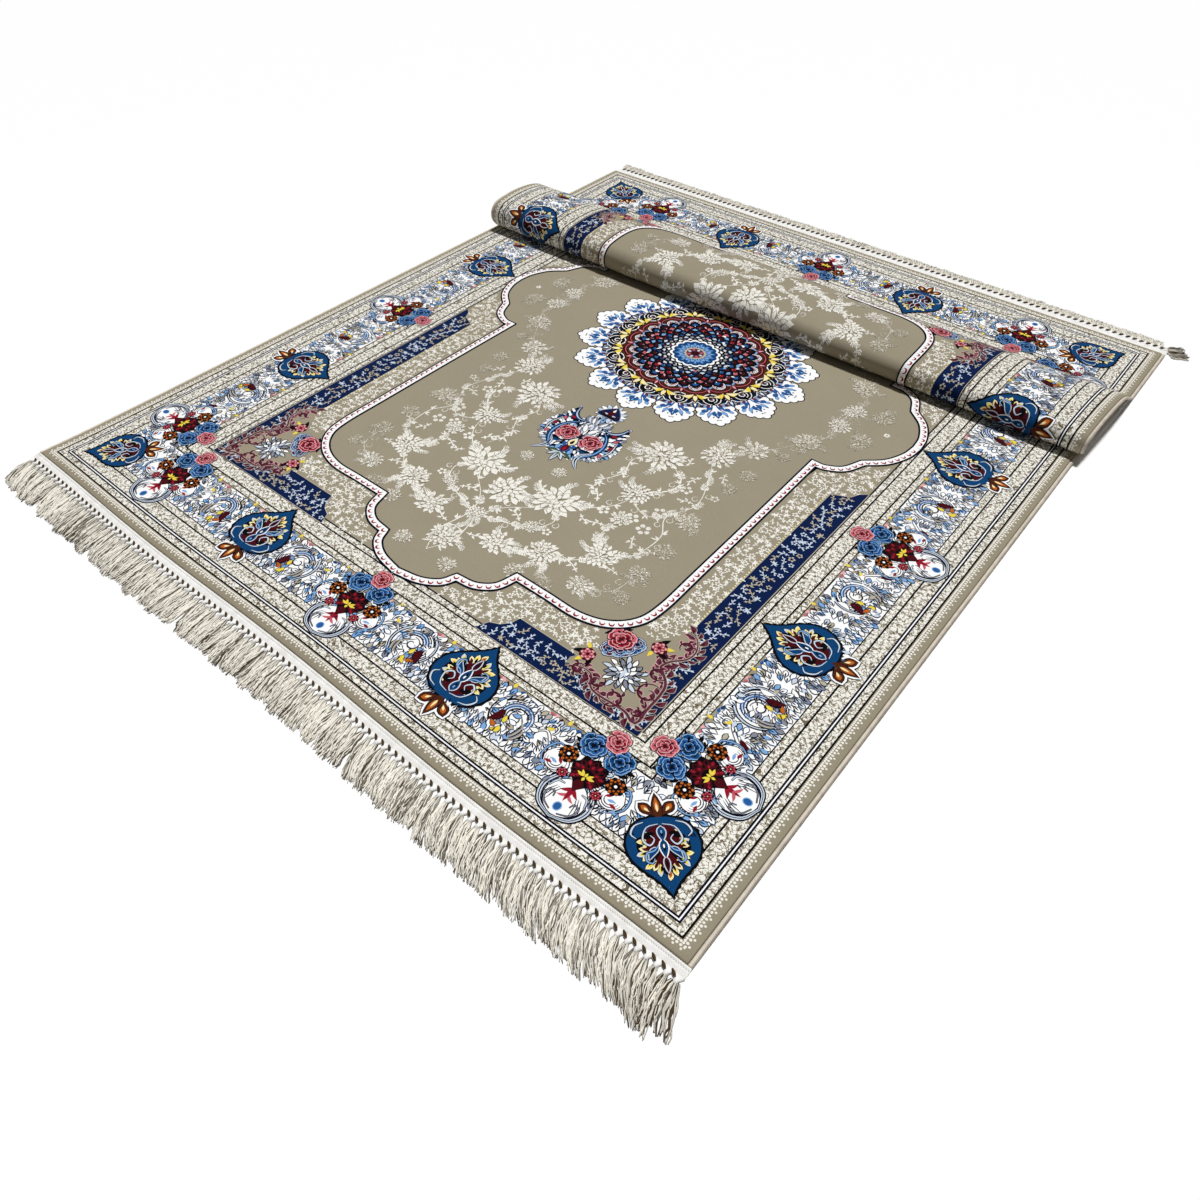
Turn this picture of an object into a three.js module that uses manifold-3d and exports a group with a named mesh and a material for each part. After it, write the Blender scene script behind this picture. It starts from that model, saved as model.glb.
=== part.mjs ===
// Flat-woven Persian-style carpet lying on a floor, with one soft rolled fold near its far end.
// The cloth is one solid: it runs away flat, turns back under the roll, comes forward, turns up over the
// front of the roll and falls to the floor again. Each end carries a sewn tape with knotted tassels, and
// each long edge a bound cord. Millimetres, +Z up, +Y away from the near fringe, +X to the right.
import * as THREE from 'three';
import * as BufferGeometryUtils from 'three/addons/utils/BufferGeometryUtils.js';
import Module from 'manifold-3d';

// Woven cloth
const clothLength = 2250;
const clothWidth = 1482;
const clothThickness = 10;
const pieceGap = 0.3;

// Where the folded cloth lies
const rollFrontLeft = 1282;
const rollFrontRight = 1295;
const farEdgeY = 1799;
const sidewaysDrift = 17;
const crossStations = 12;

// Folds in the order in which the cloth meets them. Radii are at mid thickness, headings in degrees from
// +Y towards +Z after the bend, and steps is the number of facets.
const folds = {
  backTurn: { radiusLeft: 9.5, radiusRight: 9.5, headingLeft: 183, headingRight: 182.6, steps: 12 },
  rollBelow: { radiusLeft: 36, radiusRight: 25, headingLeft: 90, headingRight: 90, steps: 7 },
  rollAbove: { radiusLeft: 28.5, radiusRight: 16, headingLeft: 12, headingRight: 12, steps: 6 },
  crown: { radiusLeft: 340, radiusRight: 420, headingLeft: -8, headingRight: -8, steps: 4 },
  crownBack: { radiusLeft: 110, radiusRight: 160, headingLeft: -31, headingRight: -28, steps: 4 },
  heel: { radiusLeft: 45, radiusRight: 45, headingLeft: 0, headingRight: 0, steps: 5 },
};

// Unevenness of the lying cloth
const endWave = { depth: 6, pitch: 740, reach: 220, steps: 4 };
const cornerFlare = { out: 6, reach: 90 };

// Bound cord along each long edge, a row for each place across it
const cordWidth = 7;
const cordSection = [
  { across: 0, halfThickness: 2.4 },
  { across: 0.5, halfThickness: 3.2 },
  { across: 1, halfThickness: 1.7 },
];

// Sewn tape and its tassels
const tapeWidth = 20;
const tapeThickness = 2.2;
const tasselPitch = 14.25;
const tasselCount = 105;
const tasselLength = 72;
const tasselRoot = 1.5;
// Shape of a tassel from its root on the tape, past the knot, to its tip. Width and height in mm.
const tasselShape = [
  { along: 0, width: 7.5, height: 1.8 },
  { along: 0.16, width: 4.6, height: 5.2 },
  { along: 0.5, width: 8.4, height: 5.6 },
  { along: 1, width: 8, height: 3.4 },
];
// How far the tassels lean sideways for each millimetre they run, as two slow waves
const tasselLean = [
  { size: 0.15, pitch: 335, phase: 0.6 },
  { size: 0.05, pitch: 128, phase: 2.1 },
];
const tasselTopNarrowing = 0.6;
const cornerTasselLean = 1.1;
const cornerTasselLength = 0.62;

const degrees = Math.PI / 180;
const mix = (left, right, share) => left + (right - left) * share;

// One bend at constant curvature: what it adds to the cloth's length and to the place of its end
function bendMove(radius, from, to) {
  const turn = (to - from) * degrees;
  const side = Math.sign(turn);
  return {
    length: radius * Math.abs(turn),
    dy: side * radius * (Math.sin(to * degrees) - Math.sin(from * degrees)),
    dz: side * radius * (Math.cos(from * degrees) - Math.cos(to * degrees)),
  };
}

// The folds at one place across the cloth, with the straight runs between them worked out so that the
// cloth keeps its length, the roll its front line, and the far end its edge on the floor.
function foldPlan(share) {
  const bends = {};
  let heading = 0;
  for (const [name, row] of Object.entries(folds)) {
    const radius = mix(row.radiusLeft, row.radiusRight, share);
    const next = mix(row.headingLeft, row.headingRight, share);
    bends[name] = { radius, from: heading, to: next, steps: row.steps, ...bendMove(radius, heading, next) };
    heading = next;
  }
  const frontY = mix(rollFrontLeft, rollFrontRight, share);
  const back = bends.backTurn.to * degrees;
  const slope = bends.crownBack.to * degrees;
  const over = [bends.rollAbove, bends.crown, bends.crownBack, bends.heel];
  const runsFor = (middle) => {
    const risen = bends.backTurn.dz + middle * Math.sin(back) + bends.rollBelow.dz;
    const fall = -over.reduce((sum, bend) => sum + bend.dz, risen) / Math.sin(slope);
    const near = frontY - bends.backTurn.dy - middle * Math.cos(back) - bends.rollBelow.dy;
    const landed = over.reduce((sum, bend) => sum + bend.dy, frontY) + fall * Math.cos(slope);
    return { near, middle, fall, far: farEdgeY - landed };
  };
  const bendLength = Object.values(bends).reduce((sum, bend) => sum + bend.length, 0);
  const lengthFor = (runs) => runs.near + runs.middle + runs.fall + runs.far + bendLength;
  const shortest = lengthFor(runsFor(0));
  const perMiddle = lengthFor(runsFor(1)) - shortest;
  return { bends, runs: runsFor((clothLength - shortest) / perMiddle) };
}

// Points along the mid line of the cloth at one place across it: y, z, heading and distance v
function sectionLine(share) {
  const { bends, runs } = foldPlan(share);
  const line = [{ y: 0, z: clothThickness / 2, heading: 0, v: 0 }];
  const straight = (length, heading) => {
    const last = line[line.length - 1];
    const y = last.y + length * Math.cos(heading * degrees);
    const z = last.z + length * Math.sin(heading * degrees);
    line.push({ y, z, heading, v: last.v + length });
  };
  const curve = (bend) => {
    const start = line[line.length - 1];
    for (let step = 1; step <= bend.steps; step++) {
      const heading = mix(bend.from, bend.to, step / bend.steps);
      const move = bendMove(bend.radius, bend.from, heading);
      line.push({ y: start.y + move.dy, z: start.z + move.dz, heading, v: start.v + move.length });
    }
  };
  for (let step = 0; step < endWave.steps; step++) {
    straight(endWave.reach / endWave.steps, 0);
  }
  straight(runs.near - endWave.reach, 0);
  curve(bends.backTurn);
  straight(runs.middle, bends.backTurn.to);
  curve(bends.rollBelow);
  curve(bends.rollAbove);
  curve(bends.crown);
  curve(bends.crownBack);
  straight(runs.fall, bends.crownBack.to);
  curve(bends.heel);
  straight(runs.far, 0);
  return line;
}

const smooth = (share) => {
  const held = Math.min(1, Math.max(0, share));
  return held * held * (3 - 2 * held);
};

// The cloth drifts sideways through the fold, and its near end is a little wavy with one flared corner
const driftStart = foldPlan(0.5).runs.near;
const driftEnd = clothLength - foldPlan(0.5).runs.far;
const driftAt = (v) => sidewaysDrift * smooth((v - driftStart) / (driftEnd - driftStart));
const waveAt = (x) => -endWave.depth * (1 - Math.cos(2 * Math.PI * x / endWave.pitch)) / 2;

// A point of the cloth: x across it, j along its section, and the height above the mid surface
const sections = new Map();
function clothPoint(x, j, height) {
  const across = Math.min(clothWidth / 2, Math.max(-clothWidth / 2, x));
  if (!sections.has(across)) {
    sections.set(across, sectionLine(across / clothWidth + 0.5));
  }
  const point = sections.get(across)[j];
  const fade = Math.max(0, 1 - point.v / endWave.reach);
  const flare = cornerFlare.out * Math.exp(-point.v / cornerFlare.reach) * Math.max(0, -across * 2 / clothWidth);
  return new THREE.Vector3(
    x + driftAt(point.v) - flare,
    point.y + waveAt(across) * fade * fade - height * Math.sin(point.heading * degrees),
    point.z + height * Math.cos(point.heading * degrees),
  );
}

// A closed shell with an upper and a lower face, walled round its four sides.
// place(i, j, upper) gives each corner, i running across and j along.
function shell(countAcross, countAlong, place) {
  const positions = [];
  const indices = [];
  const row = countAlong + 1;
  const layer = (countAcross + 1) * row;
  for (const upper of [false, true]) {
    for (let i = 0; i <= countAcross; i++) {
      for (let j = 0; j <= countAlong; j++) {
        positions.push(...place(i, j, upper).toArray());
      }
    }
  }
  const at = (i, j, upper) => (upper ? layer : 0) + i * row + j;
  const quad = (a, b, c, d) => indices.push(a, b, c, a, c, d);
  for (let i = 0; i < countAcross; i++) {
    for (let j = 0; j < countAlong; j++) {
      quad(at(i, j, true), at(i + 1, j, true), at(i + 1, j + 1, true), at(i, j + 1, true));
      quad(at(i, j, false), at(i, j + 1, false), at(i + 1, j + 1, false), at(i + 1, j, false));
    }
    quad(at(i, 0, false), at(i + 1, 0, false), at(i + 1, 0, true), at(i, 0, true));
    quad(at(i + 1, countAlong, false), at(i, countAlong, false),
      at(i, countAlong, true), at(i + 1, countAlong, true));
  }
  for (let j = 0; j < countAlong; j++) {
    quad(at(0, j + 1, false), at(0, j, false), at(0, j, true), at(0, j + 1, true));
    quad(at(countAcross, j, false), at(countAcross, j + 1, false),
      at(countAcross, j + 1, true), at(countAcross, j, true));
  }
  const geometry = new THREE.BufferGeometry();
  geometry.setAttribute('position', new THREE.Float32BufferAttribute(positions, 3));
  geometry.setIndex(indices);
  return geometry;
}

// Carpet
const lastPoint = sectionLine(0).length - 1;
const stationX = (i) => (i / crossStations - 0.5) * clothWidth;

function carpetGeometry() {
  const half = clothThickness / 2;
  return shell(crossStations, lastPoint, (i, j, upper) => clothPoint(stationX(i), j, upper ? half : -half));
}

// Bound cord on one long edge, side -1 on the left and 1 on the right
function bindingGeometry(side) {
  const rows = side > 0 ? cordSection : [...cordSection].reverse();
  return shell(rows.length - 1, lastPoint, (i, j, upper) => {
    const { across, halfThickness } = rows[i];
    const x = side * (clothWidth / 2 + pieceGap + across * cordWidth);
    return clothPoint(x, j, upper ? halfThickness : -halfThickness);
  });
}

// Fringe: a tape with one row of knotted tassels, end -1 on the near edge and 1 on the far edge
const cordOuter = clothWidth / 2 + pieceGap + cordWidth;

function tapeShell(end) {
  const edge = end < 0 ? 0 : lastPoint;
  const half = clothThickness / 2;
  const innerAt = (x) => clothPoint(x, edge, -half);
  const stations = [-cordOuter];
  for (let i = 0; i <= crossStations; i++) {
    stations.push(stationX(i));
  }
  stations.push(cordOuter);
  return shell(stations.length - 1, 1, (i, j, upper) => {
    const inner = innerAt(stations[i]);
    const outward = (end < 0) === (j === 0) ? tapeWidth : 0;
    return new THREE.Vector3(inner.x, inner.y + end * (pieceGap + outward), upper ? tapeThickness : 0);
  });
}

function tasselShell(end, index) {
  const last = tasselCount - 1;
  const x = (index - last / 2) * tasselPitch;
  const left = Math.floor((x / clothWidth + 0.5) * crossStations);
  const before = clothPoint(stationX(left), end < 0 ? 0 : lastPoint, 0);
  const after = clothPoint(stationX(left + 1), end < 0 ? 0 : lastPoint, 0);
  const share = (x - stationX(left)) / (stationX(left + 1) - stationX(left));
  const start = before.lerp(after, share);
  start.y += end * (pieceGap + tapeWidth - tasselRoot);
  const isCorner = end > 0 && index === last;
  const wave = tasselLean.reduce((sum, row) => {
    return sum + row.size * Math.sin(2 * Math.PI * x / row.pitch + row.phase + end);
  }, 0);
  const lean = isCorner ? cornerTasselLean : wave;
  const uneven = 1 + 0.045 * Math.sin(2.4 * index + end) + 0.03 * Math.sin(5.1 * index);
  const length = tasselLength * (isCorner ? cornerTasselLength : uneven);
  return shell(1, tasselShape.length - 1, (i, j, upper) => {
    const row = tasselShape[end < 0 ? tasselShape.length - 1 - j : j];
    const forward = row.along * length;
    const halfWidth = row.width / 2 * (upper ? tasselTopNarrowing : 1);
    const middle = start.x + lean * forward * row.along;
    return new THREE.Vector3(middle + (i ? halfWidth : -halfWidth), start.y + end * forward, upper ? row.height : 0);
  });
}

const manifoldLibrary = await Module();
manifoldLibrary.setup();

function toSolid(geometry) {
  const merged = BufferGeometryUtils.mergeVertices(geometry);
  return new manifoldLibrary.Manifold(new manifoldLibrary.Mesh({
    numProp: 3,
    vertProperties: Float32Array.from(merged.attributes.position.array),
    triVerts: Uint32Array.from(merged.index.array),
  }));
}

function toGeometry(solid) {
  const mesh = solid.getMesh();
  const geometry = new THREE.BufferGeometry();
  geometry.setAttribute('position', new THREE.Float32BufferAttribute(mesh.vertProperties, 3));
  geometry.setIndex(Array.from(mesh.triVerts));
  return geometry;
}

function fringeGeometry(end) {
  let solid = toSolid(tapeShell(end));
  for (let index = 0; index < tasselCount; index++) {
    solid = solid.add(toSolid(tasselShell(end, index)));
  }
  return toGeometry(solid);
}

// Materials
const woolGround = new THREE.MeshStandardMaterial({ color: 0x9a917d, roughness: 0.95, metalness: 0 });
const cordYarn = new THREE.MeshStandardMaterial({ color: 0xb3a797, roughness: 0.9, metalness: 0 });
const cottonYarn = new THREE.MeshStandardMaterial({ color: 0xd9d3c6, roughness: 0.9, metalness: 0 });

const carpet = new THREE.Group();
function addPiece(name, geometry, material) {
  geometry.computeVertexNormals();
  const mesh = new THREE.Mesh(geometry, material);
  mesh.name = name;
  carpet.add(mesh);
}
addPiece('carpet', carpetGeometry(), woolGround);
addPiece('binding_left', bindingGeometry(-1), cordYarn);
addPiece('binding_right', bindingGeometry(1), cordYarn);
addPiece('fringe_near', fringeGeometry(-1), cottonYarn);
addPiece('fringe_far', fringeGeometry(1), cottonYarn);

// The origin is the centre of the whole piece, on the floor
const box = new THREE.Box3().setFromObject(carpet);
const centre = box.getCenter(new THREE.Vector3());
carpet.position.set(-centre.x, -centre.y, 0);

export default carpet;
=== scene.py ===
import math
import random
import bpy
import numpy as np
from mathutils import Matrix, Vector
from mathutils.geometry import tessellate_polygon


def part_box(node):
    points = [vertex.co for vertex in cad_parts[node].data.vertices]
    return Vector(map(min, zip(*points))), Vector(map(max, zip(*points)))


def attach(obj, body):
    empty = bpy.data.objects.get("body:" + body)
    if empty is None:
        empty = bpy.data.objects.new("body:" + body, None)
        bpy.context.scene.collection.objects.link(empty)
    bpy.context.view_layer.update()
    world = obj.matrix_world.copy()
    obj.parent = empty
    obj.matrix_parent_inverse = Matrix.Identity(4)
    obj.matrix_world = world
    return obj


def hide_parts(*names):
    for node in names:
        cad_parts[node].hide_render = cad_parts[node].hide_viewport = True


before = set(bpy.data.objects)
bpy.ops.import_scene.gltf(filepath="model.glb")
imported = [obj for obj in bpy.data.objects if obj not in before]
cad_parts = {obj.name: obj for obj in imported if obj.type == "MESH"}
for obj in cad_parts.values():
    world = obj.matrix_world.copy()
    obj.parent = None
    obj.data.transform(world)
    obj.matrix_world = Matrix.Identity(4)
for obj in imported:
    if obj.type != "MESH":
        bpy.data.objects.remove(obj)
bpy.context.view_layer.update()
print("frame loaded")

mm = 0.001   # all sizes below are in millimetres and turn into metres where a mesh is made

# the woven cloth and the way it is folded
cloth = {
    "length": 2250, "width": 1482, "thickness": 10,
    "rollFront": (1282, 1295),        # left and right end of the roll's front line
    "farEdge": 1799,
    "drift": 17,                      # sideways drift of the far part
    "wave": {"depth": 6, "pitch": 740, "reach": 220},
    "flare": {"out": 6, "reach": 90},
    "cordWidth": 7, "gap": 0.3,
}
# radius at mid thickness and heading after the bend, each left and right
bends = {
    "backTurn": {"radius": (9.5, 9.5), "heading": (183, 182.6)},
    "rollBelow": {"radius": (36, 25), "heading": (90, 90)},
    "rollAbove": {"radius": (28.5, 16), "heading": (12, 12)},
    "crown": {"radius": (340, 420), "heading": (-8, -8)},
    "crownBack": {"radius": (110, 160), "heading": (-31, -28)},
    "heel": {"radius": (45, 45), "heading": (0, 0)},
}
halfWidth = cloth["width"] / 2
halfThick = cloth["thickness"] / 2

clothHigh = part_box("carpet")[1] / mm
centreX = halfWidth + cloth["drift"] - clothHigh.x
centreY = cloth["farEdge"] - clothHigh.y


def between(pair, share):
    return pair[0] + (pair[1] - pair[0]) * share


def arcMove(radius, start, end):
    side = np.sign(end - start)
    return side * radius * (np.sin(end) - np.sin(start)), side * radius * (np.cos(start) - np.cos(end))


def foldPlan(share):
    # straight runs and bends in the order the cloth meets them, for an array of places across it
    heading = np.zeros_like(share)
    rows = {}
    for name, bend in bends.items():
        after = np.radians(between(bend["heading"], share))
        radius = between(bend["radius"], share)
        dy, dz = arcMove(radius, heading, after)
        rows[name] = {"radius": radius, "start": heading, "end": after, "dy": dy, "dz": dz,
                      "length": radius * np.abs(after - heading)}
        heading = after
    frontY = between(cloth["rollFront"], share)
    back, slope = rows["backTurn"]["end"], rows["crownBack"]["end"]
    over = [rows[name] for name in ("rollAbove", "crown", "crownBack", "heel")]

    def runsFor(middle):
        risen = rows["backTurn"]["dz"] + middle * np.sin(back) + rows["rollBelow"]["dz"]
        fall = -(risen + sum(row["dz"] for row in over)) / np.sin(slope)
        near = frontY - rows["backTurn"]["dy"] - middle * np.cos(back) - rows["rollBelow"]["dy"]
        landed = frontY + sum(row["dy"] for row in over) + fall * np.cos(slope)
        return near, middle, fall, cloth["farEdge"] - landed

    bendLength = sum(row["length"] for row in rows.values())
    shortest = sum(runsFor(np.zeros_like(share))) + bendLength
    perMiddle = sum(runsFor(np.ones_like(share))) + bendLength - shortest
    near, middle, fall, far = runsFor((cloth["length"] - shortest) / perMiddle)
    run = lambda length, along: {"length": length, "start": along}
    return [run(near, np.zeros_like(share)), rows["backTurn"], run(middle, back), rows["rollBelow"],
            rows["rollAbove"], rows["crown"], rows["crownBack"], run(fall, slope), rows["heel"],
            run(far, np.zeros_like(share))]


middlePlan = [float(part["length"][0]) for part in foldPlan(np.array([0.5]))]
driftStart = middlePlan[0]
driftEnd = cloth["length"] - middlePlan[-1]


def onCloth(x, v, height):
    # x across the cloth and v along it, both measured on the flat cloth, height above its mid surface
    x, v, height = (np.array(a, float) for a in np.broadcast_arrays(x, v, height))
    across = np.clip(x, -halfWidth, halfWidth)
    y, z, heading, left = np.zeros_like(x), np.full_like(x, halfThick), np.zeros_like(x), v.copy()
    for part in foldPlan(across / cloth["width"] + 0.5):
        run = np.clip(left, 0, part["length"])
        left = left - run
        if "radius" in part:
            turned = part["start"] + np.sign(part["end"] - part["start"]) * run / part["radius"]
            dy, dz = arcMove(part["radius"], part["start"], turned)
            dy, dz = np.where(run > 0, dy, 0), np.where(run > 0, dz, 0)
            heading = np.where(run > 0, turned, heading)
        else:
            dy, dz = run * np.cos(part["start"]), run * np.sin(part["start"])
            heading = np.where(run > 0, part["start"], heading)
        y, z = y + dy, z + dz
    share = np.clip((v - driftStart) / (driftEnd - driftStart), 0, 1)
    drift = cloth["drift"] * share * share * (3 - 2 * share)
    wave, flare = cloth["wave"], cloth["flare"]
    fade = np.clip(1 - v / wave["reach"], 0, 1)
    y = y - wave["depth"] * (1 - np.cos(2 * np.pi * across / wave["pitch"])) / 2 * fade * fade
    out = flare["out"] * np.exp(-v / flare["reach"]) * np.clip(-across / halfWidth, 0, 1)
    points = np.stack([x + drift - out - centreX, y - height * np.sin(heading) - centreY,
                       z + height * np.cos(heading)], -1)
    normals = np.stack([np.zeros_like(x), -np.sin(heading), np.cos(heading)], -1)
    return points * mm, normals


def alongLines():
    # where the cloth needs a row of points along its length: close where it bends, wide where it is flat
    lines = []
    steps = ((0, 20), (220, 62), (1460, 1.6), (1520, 12), (1634, 3), (1750, 7), (1950, 15), (2008, 5),
             (2046, 34))
    for (start, step), (end, _) in zip(steps, steps[1:] + ((cloth["length"], 0),)):
        lines += list(np.arange(start, end, step))
    return np.array(lines + [cloth["length"]], float)


vLines = alongLines()


# colours of the yarns, as they look in plain daylight
yarns = {
    "taupe": "9c937e", "sand": "b9b09c", "ivory": "f2efe6", "white": "fbfbfb", "mist": "cbd6e4",
    "skyBlue": "7fa9d8", "blue": "285a99", "petrol": "0b4070", "navy": "081d47", "ink": "070a1c",
    "shade": "776c57",
    "black": "08060a", "maroon": "460b13", "red": "93182a", "rose": "c5606c", "pink": "e8acb0",
    "plum": "5f2c40", "yellow": "ecd24c", "cream": "f6e8b0", "orange": "bd6423", "brown": "4c2310",
    "green": "4f6238", "grey": "868996",
}


def dyed(text, strength=1.0):
    # the linear colour of a hex colour
    parts = [int(text[i:i + 2], 16) / 255 for i in (0, 2, 4)]
    return tuple((c / 12.92 if c <= 0.04045 else ((c + 0.055) / 1.055) ** 2.4) * strength
                 for c in parts) + (1.0,)


def linear(name, strength=1.0):
    return dyed(yarns[name], strength)


def newMaterial(name):
    material = bpy.data.materials.new(name)
    material.use_nodes = True
    material.node_tree.nodes.clear()
    return material


def node(tree, kind, inputs=None, **settings):
    made = tree.nodes.new(kind)
    for key, value in settings.items():
        setattr(made, key, value)
    for key, value in (inputs or {}).items():
        socket = made.inputs[key]
        if isinstance(value, bpy.types.NodeSocket):
            tree.links.new(value, socket)
        else:
            socket.default_value = value
    return made


def sums(tree, operation, *values):
    # one Math node, fed with numbers or sockets
    return node(tree, "ShaderNodeMath", dict(enumerate(values)), operation=operation).outputs[0]


def blendColours(tree, share, first, second, blend="MIX"):
    made = node(tree, "ShaderNodeMix", {0: share, 6: first, 7: second}, data_type="RGBA", blend_type=blend)
    return made.outputs[2]


def steppedRamp(tree, factor, rows, reach):
    # a ramp of flat steps: each row is where a step starts, in millimetres, and its colour
    made = node(tree, "ShaderNodeValToRGB", {0: sums(tree, "DIVIDE", factor, reach)})
    ramp = made.color_ramp
    ramp.interpolation = "CONSTANT"
    while len(ramp.elements) < len(rows):
        ramp.elements.new(1.0)
    for element, (start, colour) in zip(ramp.elements, rows):
        element.position = start / reach
        element.color = colour
    return made.outputs[0]


def finish(tree, colour, look, height=None, strength=1.0, distance=1.0):
    # the surface that every material ends in; height is its relief, and distance the relief's depth
    inputs = {"Base Color": colour, "Roughness": look["roughness"], "Specular IOR Level": look["specular"]}
    if "sheen" in look:
        inputs.update({"Sheen Weight": look["sheen"], "Sheen Roughness": look["sheenRoughness"]})
    if height is not None:
        relief = {"Height": height, "Strength": strength, "Distance": distance * mm}
        inputs["Normal"] = node(tree, "ShaderNodeBump", relief).outputs[0]
    surface = node(tree, "ShaderNodeBsdfPrincipled", inputs)
    node(tree, "ShaderNodeOutputMaterial", {"Surface": surface.outputs[0]})


def noise(tree, place, scale, detail, output="Fac", **more):
    inputs = {"Vector": place, "Scale": scale, "Detail": detail, **more}
    return node(tree, "ShaderNodeTexNoise", inputs).outputs[output]


pile = {"roughness": 0.92, "sheen": 0.05, "sheenRoughness": 0.5, "specular": 0.06,
        "tuftSize": 1.5, "tuftDepth": 0.6, "tuftHeight": 0.6, "brushSize": 70, "brushShade": 0.10,
        "tuftShade": 0.36}


def pileSurface(tree, colour):
    # cut pile: tiny tufts, brushed patches and a soft sheen over whatever colour the yarn has; the tufts'
    # colour follows their relief, darker where it is low: partly the yarn's own speckle, partly painted shade
    # between the tufts
    place = node(tree, "ShaderNodeTexCoord").outputs["Object"]
    tufts = noise(tree, place, 1 / (pile["tuftSize"] * mm), 1.5, Roughness=0.6)
    brush = noise(tree, place, 1 / (pile["brushSize"] * mm), 3.0, Roughness=0.55)
    # painted shade in part: the colour is darkened with the same noise that gives the tufts' relief, most
    # where it is low
    shade = sums(tree, "MULTIPLY_ADD", tufts, pile["tuftShade"], 1 - pile["tuftShade"] / 2)
    patch = sums(tree, "MULTIPLY_ADD", brush, pile["brushShade"], 1 - pile["brushShade"] / 2)
    both = sums(tree, "MULTIPLY", shade, patch)
    shaded = node(tree, "ShaderNodeVectorMath", {0: colour, 1: both}, operation="MULTIPLY").outputs[0]
    finish(tree, shaded, pile, tufts, pile["tuftDepth"], pile["tuftHeight"])


# the woven bands round the carpet, from the pile's edge inwards in millimetres
bandEdges = [
    (0, "taupe", 0), (20.2, "black", 0), (23.4, "ivory", 1), (33.6, "ink", 0), (37, "white", 0),
             (38.6, "ink", 0),
    (41.4, "ivory", 1), (64.8, "black", 0), (67.8, "ivory", 1), (79.2, "black", 0), (82, "white", 0),
             (178, "black", 0),
    (180.8, "ivory", 1), (191.8, "black", 0), (194.8, "ivory", 1), (220.8, "black", 0), (223.8, "ivory", 1),
    (234, "ink", 0), (237, "taupe", 0),
]
bandReach = 250
mottling = {
    "speckScale": 0.17, "speckFrom": 0.548,
            # taupe patches over ivory: per millimetre, and how few
    "netScale": 0.125, "netWidth": 0.04, "shade": 0.85,   # dark net between them, and how dark both yarns are
    "bendScale": 0.13, "bend": 10,
}
laceRows = [(17.6, 3.9, 1.7), (13.4, 5.8, 2.0), (9.2, 11.6, 1.6)]   # from the edge, pitch, dot radius


def groundMaterial():
    material = newMaterial("carpet_ground")
    tree = material.node_tree
    flat = node(tree, "ShaderNodeUVMap", uv_map="flatCloth").outputs[0]
    split = node(tree, "ShaderNodeSeparateXYZ", {0: flat})
    x = sums(tree, "DIVIDE", split.outputs[0], mm)
    v = sums(tree, "DIVIDE", split.outputs[1], mm)
    fromSide = sums(tree, "SUBTRACT", halfWidth, sums(tree, "ABSOLUTE", x))
    fromEnd = sums(tree, "MINIMUM", v, sums(tree, "SUBTRACT", cloth["length"], v))
    inward = sums(tree, "MINIMUM", fromSide, fromEnd)
    onSide = sums(tree, "LESS_THAN", fromSide, fromEnd)
    along = sums(tree, "ADD", sums(tree, "MULTIPLY", onSide, v),
                 sums(tree, "MULTIPLY", sums(tree, "SUBTRACT", 1.0, onSide), x))
    colour = steppedRamp(tree, inward, [(start, linear(name)) for start, name, _ in bandEdges], bandReach)
    mottled = steppedRamp(tree, inward, [(start, (m, m, m, 1)) for start, _, m in bandEdges], bandReach)
    place = node(tree, "ShaderNodeCombineXYZ", {0: x, 1: v}).outputs[0]
    warp = noise(tree, place, mottling["bendScale"], 1.0, "Color")
    bend = {0: warp, 1: (mottling["bend"], mottling["bend"], 0), 2: place}
    bent = node(tree, "ShaderNodeVectorMath", bend, operation="MULTIPLY_ADD").outputs[0]
    net = node(tree, "ShaderNodeTexVoronoi", {"Vector": bent, "Scale": mottling["netScale"]},
               feature="DISTANCE_TO_EDGE")
    speck = noise(tree, place, mottling["speckScale"], 3.0, Roughness=0.62)
    lines = sums(tree, "LESS_THAN", net.outputs["Distance"], mottling["netWidth"])
    patches = sums(tree, "GREATER_THAN", speck, mottling["speckFrom"])
    for area, yarn in ((patches, "taupe"), (lines, "shade")):
        shown = sums(tree, "MULTIPLY", area, mottled)
        colour = blendColours(tree, shown, colour, linear(yarn, mottling["shade"]))
    lace = 0.0
    for row, pitch, radius in laceRows:
        turn = sums(tree, "SUBTRACT", sums(tree, "FRACT", sums(tree, "DIVIDE", along, pitch)), 0.5)
        sideways = sums(tree, "MULTIPLY", turn, pitch)
        off = sums(tree, "SUBTRACT", inward, row)
        far = sums(tree, "ADD", sums(tree, "MULTIPLY", sideways, sideways), sums(tree, "MULTIPLY", off, off))
        ragged = sums(tree, "MULTIPLY", speck, 2 * radius * radius)
        lace = sums(tree, "MAXIMUM", lace, sums(tree, "LESS_THAN", far, ragged))
    colour = blendColours(tree, lace, colour, linear("ivory"))
    pileSurface(tree, colour)
    return material


backing = {
    "threads": (("Y", 3.2, 0.4), ("X", 4.2, 0.3)),   # weft and warp: direction, pitch and how uneven they run
    "deep": 0.62, "pale": 0.95, "relief": 0.6, "depth": 0.8, "roughness": 0.92, "specular": 0.15,
}


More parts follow.
